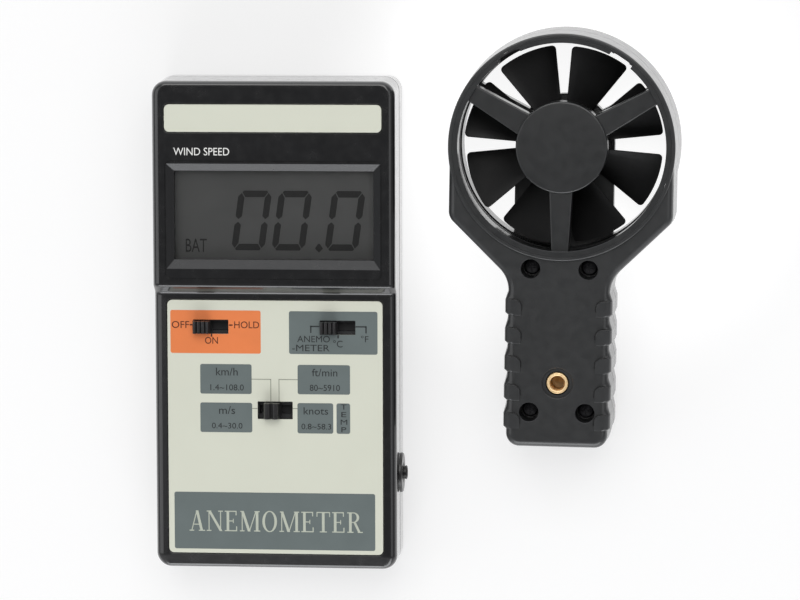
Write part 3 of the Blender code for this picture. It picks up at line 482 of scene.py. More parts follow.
def piece(obj, name, body, slot, *stands_for, look=None, angle=32):
    """Names a finished shape, carries it to its place, and gives it its look and its body. The
    names after the slot are the CAD nodes that it stands for."""
    obj.name = name
    obj.data.name = name
    moved(obj, PROBE if body in ("probe", "impeller") else METER)
    mesh = obj.data
    mesh.validate()
    mesh.shade_smooth()
    mesh.set_sharp_from_angle(angle=math.radians(angle))
    mesh.materials.clear()
    mesh.materials.append(LOOKS[look or slot])
    weights = obj.modifiers.new("normals", "WEIGHTED_NORMAL")
    weights.keep_sharp = True
    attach(obj, body)
    if stands_for:
        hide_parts(*stands_for)


# Meter: cases.


def case_rungs(by, lean):
    """Half widths of the case at rising y, from its lower end to its upper one."""
    x, radius = HALF_WIDTH - by, CASE_CORNER - by
    low, high = CASE_LOW + CASE_CORNER, CASE_TOP - CASE_CORNER - lean
    deep, tall = CASE_CORNER - by * FOOT_EDGE_SHARE, CASE_CORNER - by * HEAD_EDGE_SHARE
    arc = [(x - radius + radius * math.sin(a), math.cos(a))
           for a in (QUARTER_TURN * i / 8 for i in range(9))]
    foot = [(at, low - deep * share) for at, share in arc]
    head = [(at, high + tall * share) for at, share in reversed(arc)]
    return foot + [(x, y) for y, _ in reversed(STEP)] + head


def face_height(y):
    for (y1, z1), (y0, z0) in zip(STEP, STEP[1:]):
        if y >= y1:
            return z1
        if y >= y0:
            return z0 + (z1 - z0) * (y - y0) / (y1 - y0)
    return STEP[-1][1] - FOOT_FALL * max(0.0, CASE_LOW + CASE_CORNER - y)


def surface_height(y, fall):
    """Height of the face with the border's fall, which fades out up the step."""
    if fall is None:
        return 0.0
    down_step = (DISPLAY_TOP - max(face_height(y), SWITCH_TOP)) / (DISPLAY_TOP - SWITCH_TOP)
    return face_height(y) - fall * down_step


def front_shell():
    """The front case's outside: straight walls from the split, a rounded edge, a stepped face."""
    sections = [(SPLIT, LIP, 0.0, None), (SPLIT + LIP, 0.0, 0.0, None),
                *[(z, by, HEAD_LEAN, BORDER_FALL) for z, by in edge_up(0.0, CASE_EDGE, 6)],
                (0.0, BORDER_INSET, HEAD_LEAN, 0.0)]
    bm = bmesh.new()
    layers = []
    for z, by, lean, fall in sections:
        rungs = case_rungs(by, lean)
        ring = rungs + [(-x, y) for x, y in reversed(rungs)]
        layers.append([bm.verts.new((x, y, z + surface_height(y, fall))) for x, y in ring])
    bridge(bm, layers)
    bm.faces.new(layers[0][::-1])
    top, count = layers[-1], len(layers[-1])
    for i in range(count // 2 - 1):
        bm.faces.new((top[i], top[i + 1], top[count - 2 - i], top[count - 1 - i]))
    return shape(bm)


def jack_hole():
    return moved(rod(JACK, 2.6, 30, 45), ALONG_X)


def front_case():
    case = front_shell()
    room = inset(CASE, WALL)
    cut(
        case,
        block(room, SPLIT - PAST, SWITCH_TOP - WALL, CASE_CORNER - WALL),
        block((room[0] + 1, room[1] - 1, RECESS[3] + 2.5, room[3] - 1), SPLIT,
              DISPLAY_TOP - WALL, 2.0),
    )
    foot = DISPLAY_TOP - RECESS_DEPTH
    above = 1.3  # the slopes carry on past the face by this share
    mouth = [w + (r - w) * above for r, w in zip(RECESS, WINDOW)]
    slopes = loft([[(x, y, z) for x, y in corners_of(rect)]
                   for rect, z in ((WINDOW, foot), (mouth, foot + RECESS_DEPTH * above))])
    pockets = [opening(inset(rect, -GAP), top - LABEL_POCKET, top, LABEL_CORNER, LABEL_EDGE)
               for rect, top in ((STRIP, DISPLAY_TOP), (PANEL, SWITCH_TOP))]
    cut(case, slopes, block(WINDOW, foot - 2, foot + 0.1),
        block(inset(WINDOW, -1.6), SPLIT, foot - 0.8), *pockets)
    groove = block(BEZEL, DISPLAY_TOP - BEZEL_DEPTH, DISPLAY_TOP + 1, 1.8)
    cut(groove, block(inset(BEZEL, BEZEL_WIDTH), DISPLAY_TOP - 1, DISPLAY_TOP + 2, 1.5))
    cut(case, groove)
    cut(case, *slot_cutters(SWITCH_TOP - WALL - 2, SWITCH_TOP + PAST), jack_hole())
    piece(case, "front_case_shell", "meter", "case_black", "front_case")


def posts(places, radius, low, high):
    """Posts whose tops differ by a hair, so that no two faces of a union lie in one plane."""
    return [rod(place, radius, low, high - 0.01 * i) for i, place in enumerate(places)]


def holes(places, radius, low, high):
    return [rod(place, radius, low, high, 24) for place in places]


def rear_shell():
    """The rear case's outside."""
    top = SPLIT - GAP
    sections = [*edge_down(0.0, CASE_EDGE, 6), (top - LIP, 0.0), (top, LIP)]
    return prism(box_outline(CASE, CASE_CORNER), sections)


def rear_case():
    case = rear_shell()
    cut(case, block(inset(CASE, WALL), WALL, SPLIT + 8, CASE_CORNER - WALL))
    bay_x0, bay_x1, bay_y0, bay_y1 = BAY
    top = SPLIT - GAP
    wall = (-HALF_WIDTH + 0.5, 26.2, bay_y1 + 1.0, bay_y1 + 2.4)
    joined(case, *posts(CASE_SCREWS, CASE_POST, 1.0, top), block(wall, 1.1, top - 0.5))
    over = Matrix.Scale(-1, 4, Vector((0, 0, 1)))
    cut(
        case,
        *[moved(well(place, CASE_WELL, -4.5, 0.0), over) for place in CASE_SCREWS],
        *holes(CASE_SCREWS, CASE_HOLE, 3, SPLIT + 2),
        block((bay_x0, bay_x1, bay_y0 - 2, bay_y1), -1, WALL + 1),
        block((bay_x0 - RAIL - GAP, bay_x1 + RAIL + GAP, bay_y0 - 2, bay_y1), 0.9, 2.5),
        jack_hole(),
    )
    piece(case, "rear_case_shell", "meter", "case_black", "rear_case")


def battery_cover():
    """The door's end follows the case's rounded edge, and its grip has curved grooves."""
    _, x1, y0, y1 = BAY
    half, rail = x1 - GAP, x1 - GAP + RAIL
    section = [(half, 0.0), (half, 1.2), (rail, 1.2), (rail, 2.2), (-rail, 2.2), (-rail, 1.2),
               (-half, 1.2), (-half, 0.0)]
    door = bevelled(beam(section, y0, y1 - GAP), 0.15)
    common(door, rear_shell())
    grooves = []
    for i in range(5):
        reach = 9.0 - 0.9 * abs(i - 2)
        groove = moved(rod((0, 0), 0.55, -reach, reach, 12), ALONG_X)
        grooves.append(shifted(groove, 0, y1 - 6.0 - 1.7 * i, -0.1))
    cut(door, *grooves)
    arrow = [(-2.4, y0 + 9.0), (0.0, y0 + 6.0), (2.4, y0 + 9.0)]
    cut(door, slab(arrow, -1.0, 0.25))
    piece(door, "battery_door", "battery_cover", "case_black", "battery_cover")


def slot_cutters(low, high):
    return [block(around(centre, size), low, high, 0.2) for centre, size in SLOTS.values()]


def label(rect, top):
    return block(rect, top - LABEL_FLOOR, top, LABEL_CORNER, LABEL_EDGE)


def labels():
    strip = label(STRIP, DISPLAY_TOP)
    piece(strip, "name_strip_film", "meter", "label_cream", "name_strip")
    panel = label(PANEL, SWITCH_TOP)
    cut(panel, *slot_cutters(SWITCH_TOP - 2, SWITCH_TOP + 2))
    piece(panel, "face_panel_film", "meter", "label_cream", "face_panel")


# Meter: printing. Ink lies a few hundredths of a millimetre proud.

INK = 0.03
PATCHES = {
    "power_patch": ((-33.05, -4.45, -9.5, 4.1), "ink_orange"),
    "function_patch": ((4.5, 32.4, -9.5, 4.0), "ink_grey"),
    "kmh_patch": ((-23.7, -7.4, -22.3, -12.9), "ink_grey"),
    "ftmin_patch": ((7.15, 23.7, -22.2, -12.9), "ink_grey"),
    "ms_patch": ((-23.75, -7.3, -34.5, -25.1), "ink_grey"),
    "knots_patch": ((7.05, 18.35, -34.6, -25.0), "ink_grey"),
    "temp_patch": ((19.4, 23.7, -34.6, -25.0), "ink_grey"),
    "title_patch": ((-32.2, 31.5, -71.7, -53.6), "ink_grey"),
}


def on_panel(rect, level, corner=SHARP):
    return block(rect, SWITCH_TOP - 0.02, SWITCH_TOP + INK * level, corner)


def patches():
    for name, (rect, ink) in PATCHES.items():
        patch = on_panel(rect, 1, 0.6)
        for centre, size in SLOTS.values():
            x0, x1, y0, y1 = around(centre, size)
            if rect[0] < x0 and x1 < rect[1] and rect[2] < y0 and y1 < rect[3]:
                cut(patch, block((x0, x1, y0, y1), 20, 30, 0.2))
        piece(patch, name, "meter", "label_cream", look=ink)


def lettering(words, box, base, high):
    """Plain printed words that fill a box."""
    curve = bpy.data.curves.new("words", "FONT")
    curve.body, curve.resolution_u, curve.extrude = words, 4, 1.0
    guide = bpy.data.objects.new("words", curve)
    bpy.context.scene.collection.objects.link(guide)
    graph = bpy.context.evaluated_depsgraph_get()
    mesh = bpy.data.meshes.new_from_object(guide.evaluated_get(graph))
    bpy.data.objects.remove(guide)
    for axis, (start, end) in enumerate((box[:2], box[2:])):
        found = [vert.co[axis] for vert in mesh.vertices]
        low, scale = min(found), (end - start) / (max(found) - min(found))
        for vert in mesh.vertices:
            vert.co[axis] = start + (vert.co[axis] - low) * scale
    for vert in mesh.vertices:
        vert.co.z = high if vert.co.z > 0 else base
    bm = bmesh.new()
    bm.from_mesh(mesh)
    bmesh.ops.remove_doubles(bm, verts=bm.verts, dist=1e-4)
    return shape(bm)


def line(x0, y0, x1, y1, width, level=2):
    """A printed line between two points, straight along x or y."""
    rect = (min(x0, x1) - width / 2, max(x0, x1) + width / 2,
            min(y0, y1) - width / 2, max(y0, y1) + width / 2)
    return on_panel(rect, level)


WORDS_LOW, WORDS_HIGH = SWITCH_TOP - 0.01, SWITCH_TOP + 2 * INK
WORDS = {
    "power_lettering": ("ink_brown", {
        "OFF": (-32.6, -27.1, -1.6, 0.6), "HOLD": (-12.8, -4.9, -1.5, 0.65),
        "ON": (-22.1, -18.0, -6.5, -4.35),
    }, [(-26.7, -0.55, -26.2, -0.55, 0.4), (-14.3, -0.55, -13.5, -0.55, 0.4),
        (-20.0, -4.05, -20.0, -3.6, 0.45)]),
    "function_lettering": ("ink_dark", {
        "ANEMO": (7.1, 17.4, -5.75, -3.7), "-METER": (5.45, 17.3, -8.55, -6.55),
        "°C": (18.45, 21.4, -7.3, -5.05), "°F": (27.2, 29.55, -5.6, -3.55),
    }, [(11.4, -0.75, 13.9, -0.75, 0.4), (11.4, -2.6, 11.4, -0.75, 0.4),
        (25.7, -0.75, 28.8, -0.75, 0.4), (28.8, -2.6, 28.8, -0.75, 0.4),
        (20.0, -4.2, 20.0, -3.6, 0.45)]),
    "unit_lettering": ("ink_dark", {
        "km/h": (-18.7, -11.8, -16.5, -14.0), "1.4~108.0": (-20.5, -9.9, -21.2, -19.3),
        "ft/min": (11.7, 19.7, -16.5, -14.1), "80~5910": (11.0, 20.5, -21.1, -19.15),
        "m/s": (-17.8, -12.7, -28.7, -26.2), "0.4~30.0": (-20.1, -10.4, -33.3, -31.5),
        "knots": (9.0, 16.75, -28.6, -26.3), "0.8~58.3": (8.3, 17.7, -33.3, -31.5),
        "T": (20.8, 22.6, -26.9, -25.3), "E": (20.9, 22.5, -29.3, -27.7),
        "M": (20.7, 22.8, -31.7, -30.1), "P": (20.9, 22.5, -34.1, -32.5),
    }, []),
    "unit_lines": ("ink_line", {}, [
        (-7.3, -17.6, -1.35, -17.6, 0.22, 1), (-1.35, -24.5, -1.35, -17.6, 0.22, 1),
        (1.25, -17.6, 7.1, -17.6, 0.22, 1), (1.25, -24.5, 1.25, -17.6, 0.22, 1),
        (-7.2, -26.85, -5.7, -26.85, 0.22, 1), (5.7, -26.75, 6.95, -26.75, 0.22, 1),
    ]),
}


def printing():
    for name, (ink, words, lines) in WORDS.items():
        made = [lettering(text, box, WORDS_LOW, WORDS_HIGH) for text, box in words.items()]
        made += [line(*numbers) for numbers in lines]
        piece(gathered(made), name, "meter", "label_cream", look=ink)
    mark = lettering("WIND SPEED", (-31.2, -13.6, 53.0, 55.4), DISPLAY_TOP - 0.01,
                     DISPLAY_TOP + INK)
    piece(mark, "case_lettering", "meter", "label_cream", look="ink_white")
    piece(serif_title(), "title_lettering", "meter", "label_cream", look="ink_pale")


# The title's letters, one unit high: each has its advance and its strokes, as lists of points.
THIN, FAT, SERIF = 0.045, 0.125, 0.05


def bar(x0, y0, x1, y1):
    return corners_of((x0, x1, y0, y1))


def stem(x, width, foot=0.085, head=0.085):
    """An upright with slab serifs at its two ends."""
    return [bar(x, 0, x + width, 1), bar(x - foot, 0, x + width + foot, SERIF),
            bar(x - head, 1 - SERIF, x + width + head, 1)]


def slanting(x0, x1, width, y0=0.0, y1=1.0):
    return [(x0, y0), (x0 + width, y0), (x1 + width, y1), (x1, y1)]


def bowl(cx, cy, rx, ry, fat, start=0.0, end=360.0):
    """A round stroke, fat at its sides and thin at its top and foot."""
    steps = 28
    turns = [math.radians(start + (end - start) * i / steps) for i in range(steps + 1)]
    outside = [(cx + rx * math.cos(a), cy + ry * math.sin(a)) for a in turns]
    inside = [(cx + (rx - fat) * math.cos(a), cy + (ry - THIN) * math.sin(a)) for a in turns]
    return outside + inside[::-1]


LETTERS = {
    "A": (0.80, [slanting(0.10, 0.35, THIN), slanting(0.54, 0.32, FAT), bar(0.2, 0.3, 0.6, 0.345),
                 bar(0.02, 0, 0.24, SERIF), bar(0.46, 0, 0.76, SERIF)]),
    "N": (0.86, [*stem(0.13, THIN), *stem(0.68, THIN, 0.0), slanting(0.66, 0.10, 0.13)]),
    "E": (0.72, [*stem(0.13, FAT), bar(0.13, 0, 0.62, SERIF), bar(0.13, 1 - SERIF, 0.6, 1),
                 bar(0.2, 0.48, 0.46, 0.525), bar(0.43, 0.4, 0.47, 0.61), bar(0.58, 0, 0.63, 0.24),
                 bar(0.56, 0.78, 0.605, 1)]),
    "M": (1.04, [*stem(0.13, THIN, 0.085, 0.06), *stem(0.80, FAT, 0.085, 0.06),
                 slanting(0.42, 0.10, 0.13), slanting(0.47, 0.79, THIN)]),
    "O": (0.84, [bowl(0.42, 0.5, 0.35, 0.52, 0.125)]),
    "T": (0.74, [bar(0.305, 0, 0.43, 1), bar(0.20, 0, 0.535, SERIF), bar(0.05, 1 - SERIF, 0.69, 1),
                 bar(0.05, 0.76, 0.09, 1), bar(0.65, 0.76, 0.69, 1)]),
    "R": (0.80, [*stem(0.13, FAT), bowl(0.33, 0.745, 0.28, 0.255, 0.12, -90, 90),
                 bar(0.13, 1 - SERIF, 0.35, 1), bar(0.2, 0.49, 0.35, 0.535),
                 slanting(0.55, 0.34, 0.12, 0.04, 0.5), bar(0.54, 0, 0.78, SERIF)]),
}
TITLE, TITLE_BOX = "ANEMOMETER", (-27.6, 27.7, -66.0, -59.5)


def serif_title():
    x0, x1, y0, y1 = TITLE_BOX
    stretch = (x1 - x0) / sum(LETTERS[letter][0] for letter in TITLE)
    letters = []
    at = 0.0
    for letter in TITLE:
        advance, strokes = LETTERS[letter]
        made = []
        for i, stroke in enumerate(strokes):
            lift = 0.0007 * i  # keeps the strokes' faces out of one plane
            points = [(x0 + (at + x) * stretch, y0 + y * (y1 - y0)) for x, y in stroke]
            made.append(slab(points, WORDS_LOW - lift, WORDS_HIGH + lift))
        letters.append(joined(made[0], *made[1:]) if len(made) > 1 else made[0])
        at += advance
    return gathered(letters)


# Meter: display.

DIGIT_SLANT = math.tan(math.radians(8))
DIGIT_LOW, DIGIT_HIGH, DIGIT_WIDTH, STROKE = 22.9, 41.75, 10.6, 2.15
DIGIT_MIDDLE = 34.4  # the height at which the left edges are given
DIGIT_LEFTS = (-12.3, 0.4, 17.15)
SEGMENT_GAP, SEGMENT_LOW, SEGMENT_HIGH = 0.16, GLASS_TOP - 0.01, GLASS_TOP + 0.04


def segment(points, left):
    """One bar of a digit, slanted and pulled in a little all round."""
    middle_x = sum(x for x, _ in points) / len(points)
    middle_y = sum(y for _, y in points) / len(points)
    placed = []
    for x, y in points:
        reach = math.hypot(x - middle_x, y - middle_y)
        share = 1 - SEGMENT_GAP / reach
        x = middle_x + (x - middle_x) * share
        y = middle_y + (y - middle_y) * share
        placed.append((left + x + (y - DIGIT_MIDDLE) * DIGIT_SLANT, y))
    return slab(placed, SEGMENT_LOW, SEGMENT_HIGH)


def zero(left):
    """The six bars of a nought, with mitred corners and pointed ends where they meet."""
    w, t, half = DIGIT_WIDTH, STROKE, STROKE / 2
    mid = (DIGIT_LOW + DIGIT_HIGH) / 2
    made = []
    for flip in (1, -1):
        outer = mid + flip * (DIGIT_HIGH - mid)
        inner, corner = outer - flip * t, outer - flip * half * 0.5
        tip, shoulder = mid + flip * 0.25, mid + flip * (half * 0.9 + 0.25)
        made.append([(half * 1.4, outer), (w - half * 1.4, outer), (w - half, corner),
                     (w - t, inner), (t, inner), (half, corner)])
        for x_in, x_out, x_mid in ((t, 0, half), (w - t, w, w - half)):
            made.append([(x_out, outer - flip * half * 1.7), (x_mid, outer - flip * half * 0.55),
                         (x_in, inner), (x_in, shoulder), (x_mid, tip), (x_out, shoulder)])
    return [segment(points, left) for points in made]


def display():
    lens = block(inset(WINDOW, -1.2), LENS_LOW, LENS_TOP, 0.5, 0.2)
    piece(lens, "lcd_window_clear", "meter", "window_grey", "lcd_window")
    glass = block(inset(WINDOW, -0.2), GLASS_LOW, GLASS_TOP, 0.3, 0.1)
    piece(glass, "lcd_glass_plate", "meter", "display_glass", "lcd_glass")
    marks = [bar_made for left in DIGIT_LEFTS for bar_made in zero(left)]
    point = [(12.6, 23.6), (13.9, 22.4), (15.2, 23.6), (14.2, 25.1), (13.6, 25.1)]
    marks.append(slab(point, SEGMENT_LOW, SEGMENT_HIGH))
    marks.append(lettering("BAT", (-28.2, -21.5, 22.3, 26.5), SEGMENT_LOW, SEGMENT_HIGH))
    piece(gathered(marks), "lcd_segments", "meter", "display_glass", look="display_segment")


# Meter: switches, socket, battery and screws.


def ribbed_profile(half, top, ribs, depth):
    """A knob's outline from the side, with rounded ribs along its top."""
    pitch = 2 * half / ribs
    points = [(-half, KNOB_LOW), (half, KNOB_LOW)]
    for rib in range(ribs):
        right = half - pitch * rib
        points += [(right - pitch * 0.04, top - depth), (right - pitch * 0.22, top - 0.1),
                   (right - pitch * 0.38, top), (right - pitch * 0.62, top),
                   (right - pitch * 0.78, top - 0.1), (right - pitch * 0.96, top - depth)]
    return points


def knobs():
    for kind, (place, (width, length)) in KNOBS.items():
        ribs, depth = (2, 0.9) if kind == "unit" else (4, 0.75)
        profile = ribbed_profile(width / 2, KNOB_TOP, ribs, depth)
        knob = bevelled(beam(profile, length / 2, -length / 2), 0.14, 50)
        joined(knob, block((-1.5, 1.5, -1.0, 1.0), STEM_LOW, KNOB_LOW + 1.0))
        shifted(knob, *place)
        piece(knob, f"{kind}_knob", f"{kind}_slider", "knob_black", f"{kind}_slider")


def socket():
    """The meter's socket for the probe: a flanged collar and a short threaded barrel."""
    nut = turned([(2.5, 38.5), (6.3, 38.5), (6.3, 39.1), (6.0, 39.4), (3.3, 39.4), (3.0, 39.2),
                  (2.5, 39.2)], 64)
    shifted(moved(nut, ALONG_X), 0, *JACK)
    piece(nut, "socket_collar", "meter", "knob_black", "jack_nut")
    barrel = [(1.75, 40.4), (1.95, 40.6), (2.05, 40.6), (2.2, 40.4)]
    for x in (40.2, 39.7, 39.2):  # threads
        barrel += [(2.2, x), (2.06, x - 0.12), (2.06, x - 0.3), (2.2, x - 0.42)]
    barrel += [(2.2, 34.0), (1.75, 34.0)]
    jack = shifted(moved(turned(barrel, 48), ALONG_X), 0, *JACK)
    back = moved(block(around(JACK, (8.8, 8.8)), 27.2, 35.9, 0.8, 0.4, 0.4), ALONG_X)
    joined(jack, back)
    cut(jack, moved(rod(JACK, 1.74, 29, 45), ALONG_X))
    piece(jack, "socket_body", "meter", "knob_black", "probe_jack")


def screw(head_low, head_high, radius, tip, shank, face_up):
    """A domed screw with a cross recess and a ridged shank."""
    rise, base = head_high - head_low, head_low if face_up else head_high
    reach = abs(base - tip)
    dome = [(0.0, 1.0), (0.45, 0.98), (0.78, 0.86), (0.95, 0.6), (1.0, 0.35), (1.0, 0.0)]
    profile = [(radius * r, rise * z) for r, z in dome]
    turns = max(3, int(reach / 0.9))
    for i in range(turns):
        z = -reach * (i + 0.1) / turns
        profile += [(shank * 0.82, z), (shank, z - 0.45 * reach / turns)]
    profile += [(shank * 0.8, -reach + 0.3), (0.0, -reach)]
    made = turned(profile, 32)
    cut(made, *[block(around((0, 0), size), rise * 0.45, rise + 1)
                for size in ((2.5, 0.6), (0.6, 2.5))])
    if not face_up:
        moved(made, Matrix.Rotation(math.pi, 4, "X"))
    return shifted(made, 0, 0, base)


PROBE_HEAD = PROBE_SPLIT + 3.4 + GAP
SCREWS = {  # places, body, then the sizes for screw()
    "case": (CASE_SCREWS, "meter", (2.4, 4.2, 2.5, 19.0, 1.15, False)),
    "probe": (PROBE_SCREWS, "probe", (PROBE_HEAD, PROBE_HEAD + 1.8, 2.6, 4.0, 1.1, True)),
}


def screws():
    for kind, (places, body, sizes) in SCREWS.items():
        for i, place in enumerate(places, 1):
            made = shifted(screw(*sizes), *place)
            piece(made, f"{kind}_screw_{i}_cross", body, "screw_steel", f"{kind}_screw_{i}")


def battery():
    x0, x1, y0, y1 = BATTERY
    middle = (BATTERY_LOW + BATTERY_HIGH) / 2
    can = moved(prism(box_outline((y0, y1, BATTERY_LOW, BATTERY_HIGH), 1.4), [
        (x0, 0.7), (x0 + 0.15, 0.15), (x0 + 0.9, 0.0), (x0 + 1.2, 0.12), (x0 + 1.5, 0.12),
        (x0 + 1.8, 0.0), (x1 - 1.5, 0.0), (x1 - 1.2, 0.12), (x1 - 0.3, 0.12), (x1, 0.7)]), ALONG_X)
    for y, open_end in ((y0 + 6.9, False), (y1 - 6.9, True)):
        post = [(0.0, x1 - 1), (2.9, x1 - 1), (2.9, x1 + 1.2), (3.4, x1 + 1.5), (3.4, x1 + 2.0),
                (3.2, x1 + 2.1)]
        cup = [(2.4, x1 + 2.1), (2.2, x1 + 0.4), (0.0, x1 + 0.4)]
        post += cup if open_end else [(0.0, x1 + 2.1)]
        joined(can, shifted(moved(turned(post, 32), ALONG_X), 0, y, middle))
    piece(can, "battery_can", "meter", "battery_shell", "battery")


# Probe: shells.


def ramp_start(top, by):
    """Where a tooth starts to slope out to its pad. On the face, it has no slope."""
    length = TOOTH_RAMP * max(0.03, 1 - max(0.0, by) / HANDLE_EDGE)
    return min(top + length, TOOTH_LIMIT)


def handle_outline(by):
    """Shoulders and handle, from the upper right, clockwise, with toothed sides."""
    shoulder_x, shoulder_y = SHOULDER
    slant = by * math.tan(math.radians(22.5))
    x, handle_x = shoulder_x - by, HANDLE_X - by
    corners = [(x, 0.0), (x, shoulder_y + slant), (handle_x, NECK_Y + slant),
               (handle_x, HANDLE_END + by)]
    mirror = [(-px, py) for px, py in reversed(corners)]
    radii = [SHARP, 5.0 - by, 9.0 + by, 4.6 - by]
    steps = 12
    points = rounded(corners + mirror, radii + radii[::-1], steps)
    neck_end = 3 * (steps + 1)
    right_side = []
    for top in GRIP_TOPS:
        foot = top - GRIP_HEIGHT
        right_side += [(handle_x, ramp_start(top, by)), (handle_x + TOOTH_PROUD, top),
                       (handle_x + TOOTH_PROUD, foot + 0.8), (handle_x, foot)]
    left_side = [(-px, py) for px, py in reversed(right_side)]
    count = len(points)
    whole = points[:neck_end] + right_side + points[neck_end:count - neck_end]
    return whole + left_side + points[count - neck_end:]


def ring_wall(z):
    return RING_FOOT_RADIUS - (RING_FOOT_RADIUS - RING_TOP_RADIUS) * z / PROBE_TOP


def ring_solid(low, high, top_edge, foot_edge):
    foot, top = ring_wall(low), ring_wall(high)
    profile = [(foot - by, z) for z, by in edge_down(low, foot_edge, 4)]
    profile += [(top - by, z) for z, by in edge_up(high, top_edge, 4)]
    return turned([(0.0, low), *profile, (0.0, high)], RING_SIDES)


def shell_sections(half):
    if half == "upper":
        rounding = [(z, by + DRAFT) for z, by in edge_up(HANDLE_TOP, HANDLE_EDGE, 6)]
        return [(PROBE_SPLIT, PROBE_LIP), (PROBE_SPLIT + PROBE_LIP, 0.0), *rounding]
    top = PROBE_SPLIT - GAP
    return [*edge_down(0.0, HANDLE_EDGE, 6), (top - PROBE_LIP, 0.0), (top, PROBE_LIP)]


def pad_outline(side, inner, low, high, corner):
    """A pad's outline, whose upper inner corner is the roundest."""
    x0, x1 = sorted((side * inner, side * (HANDLE_X + PAST)))
    radii = [0.3, SHARP, SHARP, corner] if side > 0 else [SHARP, 0.3, corner, SHARP]
    return rounded(corners_of((x0, x1, low, high)), radii, 6)


def grip_pads():
    """Raised pads: the handle's own form, a little larger, kept only within each pad's outline."""
    raised = HANDLE_TOP - HANDLE_EDGE - 0.1
    sections = [(z + (PAD_RISE if z > raised else 0.0), by) for z, by in shell_sections("upper")]
    pads = []
    for top, side in PADS:
        pad = slab(pad_outline(side, GRIP_INNER, top - GRIP_HEIGHT, top, 2.2),
                   PROBE_SPLIT + 0.4, PROBE_TOP)
        common(pad, prism(lambda by: handle_outline(by - 0.02), sections))
        for vert in pad.data.vertices:
            if vert.co.z > raised:
                vert.co.z -= PAD_FALL * (top - vert.co.y) / GRIP_HEIGHT
        pads.append(bevelled(pad, 0.14, 50))
    return gathered(pads)


def trenches():
    """Cutters for a fine groove beside the pads."""
    outlines = [pad_outline(side, GRIP_INNER - TRENCH, top - GRIP_HEIGHT + 1.5, top + TRENCH, 2.5)
                for top, side in PADS]
    return [slab(outline, HANDLE_TOP - TRENCH_DEPTH, PROBE_TOP) for outline in outlines]


def probe_shell(half):
    upper = half == "upper"
    low, high = (PROBE_SPLIT, PROBE_TOP) if upper else (0.0, PROBE_SPLIT - GAP)
    shell = prism(handle_outline, shell_sections(half))
    joined(shell, ring_solid(low, high, *RING_EDGES[half]))
    inside = ((PROBE_SPLIT - PAST, HANDLE_TOP - HANDLE_WALL) if upper
              else (HANDLE_WALL, PROBE_SPLIT + PAST))
    cut(shell, rod((0, 0), RING_BORE, -5, 40, RING_SIDES), block(HANDLE_ROOM, *inside, 2.4))
    at_insert = (0, INSERT_Y)
    if upper:
        cut(shell, *trenches())
        joined(shell, grip_pads())
        joined(shell, *posts(PROBE_SCREWS, 4.2, PROBE_SPLIT + 0.6, HANDLE_TOP - 1.2),
               rod(at_insert, 6.2, PROBE_SPLIT + 0.6, HANDLE_TOP - 1.1))
        cut(
            shell,
            *[well(place, 3.0, PROBE_SPLIT + 3.4, HANDLE_TOP, 0.12) for place in PROBE_SCREWS],
            *holes(PROBE_SCREWS, 1.5, 0, 20),
            well(at_insert, 4.8, HANDLE_TOP - 0.7, HANDLE_TOP, 0.15),
            rod(at_insert, 3.7, PROBE_SPLIT + 1.6, 40),
        )
    else:
        joined(shell, *posts(PROBE_SCREWS, 3.4, 1.0, PROBE_SPLIT - 0.8))
        cut(shell, *holes(PROBE_SCREWS, 1.4, 3, 40))
    inlet = moved(rod((PROBE_SPLIT, 0), 3.3, HANDLE_END - PAST, HANDLE_END + 6), ALONG_Y)
    cut(shell, inlet, block((-3, 3, -46, -30), 8.5, 13.0))
    piece(shell, f"probe_{half}_body", "probe", "probe_black", f"probe_{half}_shell")


# Probe: vane.


def arm(angle, low, high):
    """A tapered arm with rounded upper edges."""
    def outline(by):
        return [(2.0, -ARM_ROOT + by), (ARM_REACH, -ARM_TIP + by), (ARM_REACH, ARM_TIP - by),
                (2.0, ARM_ROOT - by)]

    return turned_by(prism(outline, [(low, 0.0), *edge_up(high, 0.45, 4)]), angle)


def arms(angles, low, high):
    return [arm(angle, low, high - 0.003 * i) for i, angle in enumerate(angles)]


def upper_spider():
    low, top = PROBE_SPLIT + GAP, PROBE_TOP - 0.03
    band = turned([
        (BAND_BORE + 0.12, top), (BAND_RADIUS, top),
        (BAND_RADIUS, low), (BAND_BORE + 0.5, low), (BAND_BORE + 0.5, low + 4.0),
        (BAND_BORE + 0.2, low + 4.3), (BAND_BORE + 0.2, top - 3.6), (BAND_BORE, top - 3.3),
        (BAND_BORE, top - 0.12)], RING_SIDES)
    arm_low, arm_high = BLADE_HIGH + 1.4, PROBE_TOP - 1.2
    cap_top = PROBE_TOP - 0.3
    dome = [(0.0, arm_low - HAIR), (HUB_RADIUS, arm_low - HAIR)]
    dome += [(HUB_RADIUS - by, z) for z, by in edge_up(cap_top - 0.2, 0.55, 4)]
    dome += [(HUB_RADIUS * share, cap_top - 0.2 * share**2 - HAIR) for share in (0.85, 0.6, 0.3)]
    cap = turned([*dome, (0.0, cap_top)], HUB_SIDES)
    joined(band, *arms(SPOKE_ANGLES, arm_low, arm_high), cap)
    notches = []
    for angle in NOTCH_ANGLES:
        for half, depth in ((3.9, 0.75), (2.8, 1.1)):
            notch = block((BAND_BORE - 2, BAND_BORE + depth, -half, half), low - 1, PROBE_TOP + 1)
            notches.append(turned_by(notch, angle))
    seat = rod((0, 0), BEARING_SEAT, arm_low - 1, arm_low + 2.3)
    cut(band, *notches, seat)
    piece(band, "upper_spider_frame", "probe", "probe_black", "upper_spider", look="vane_black")


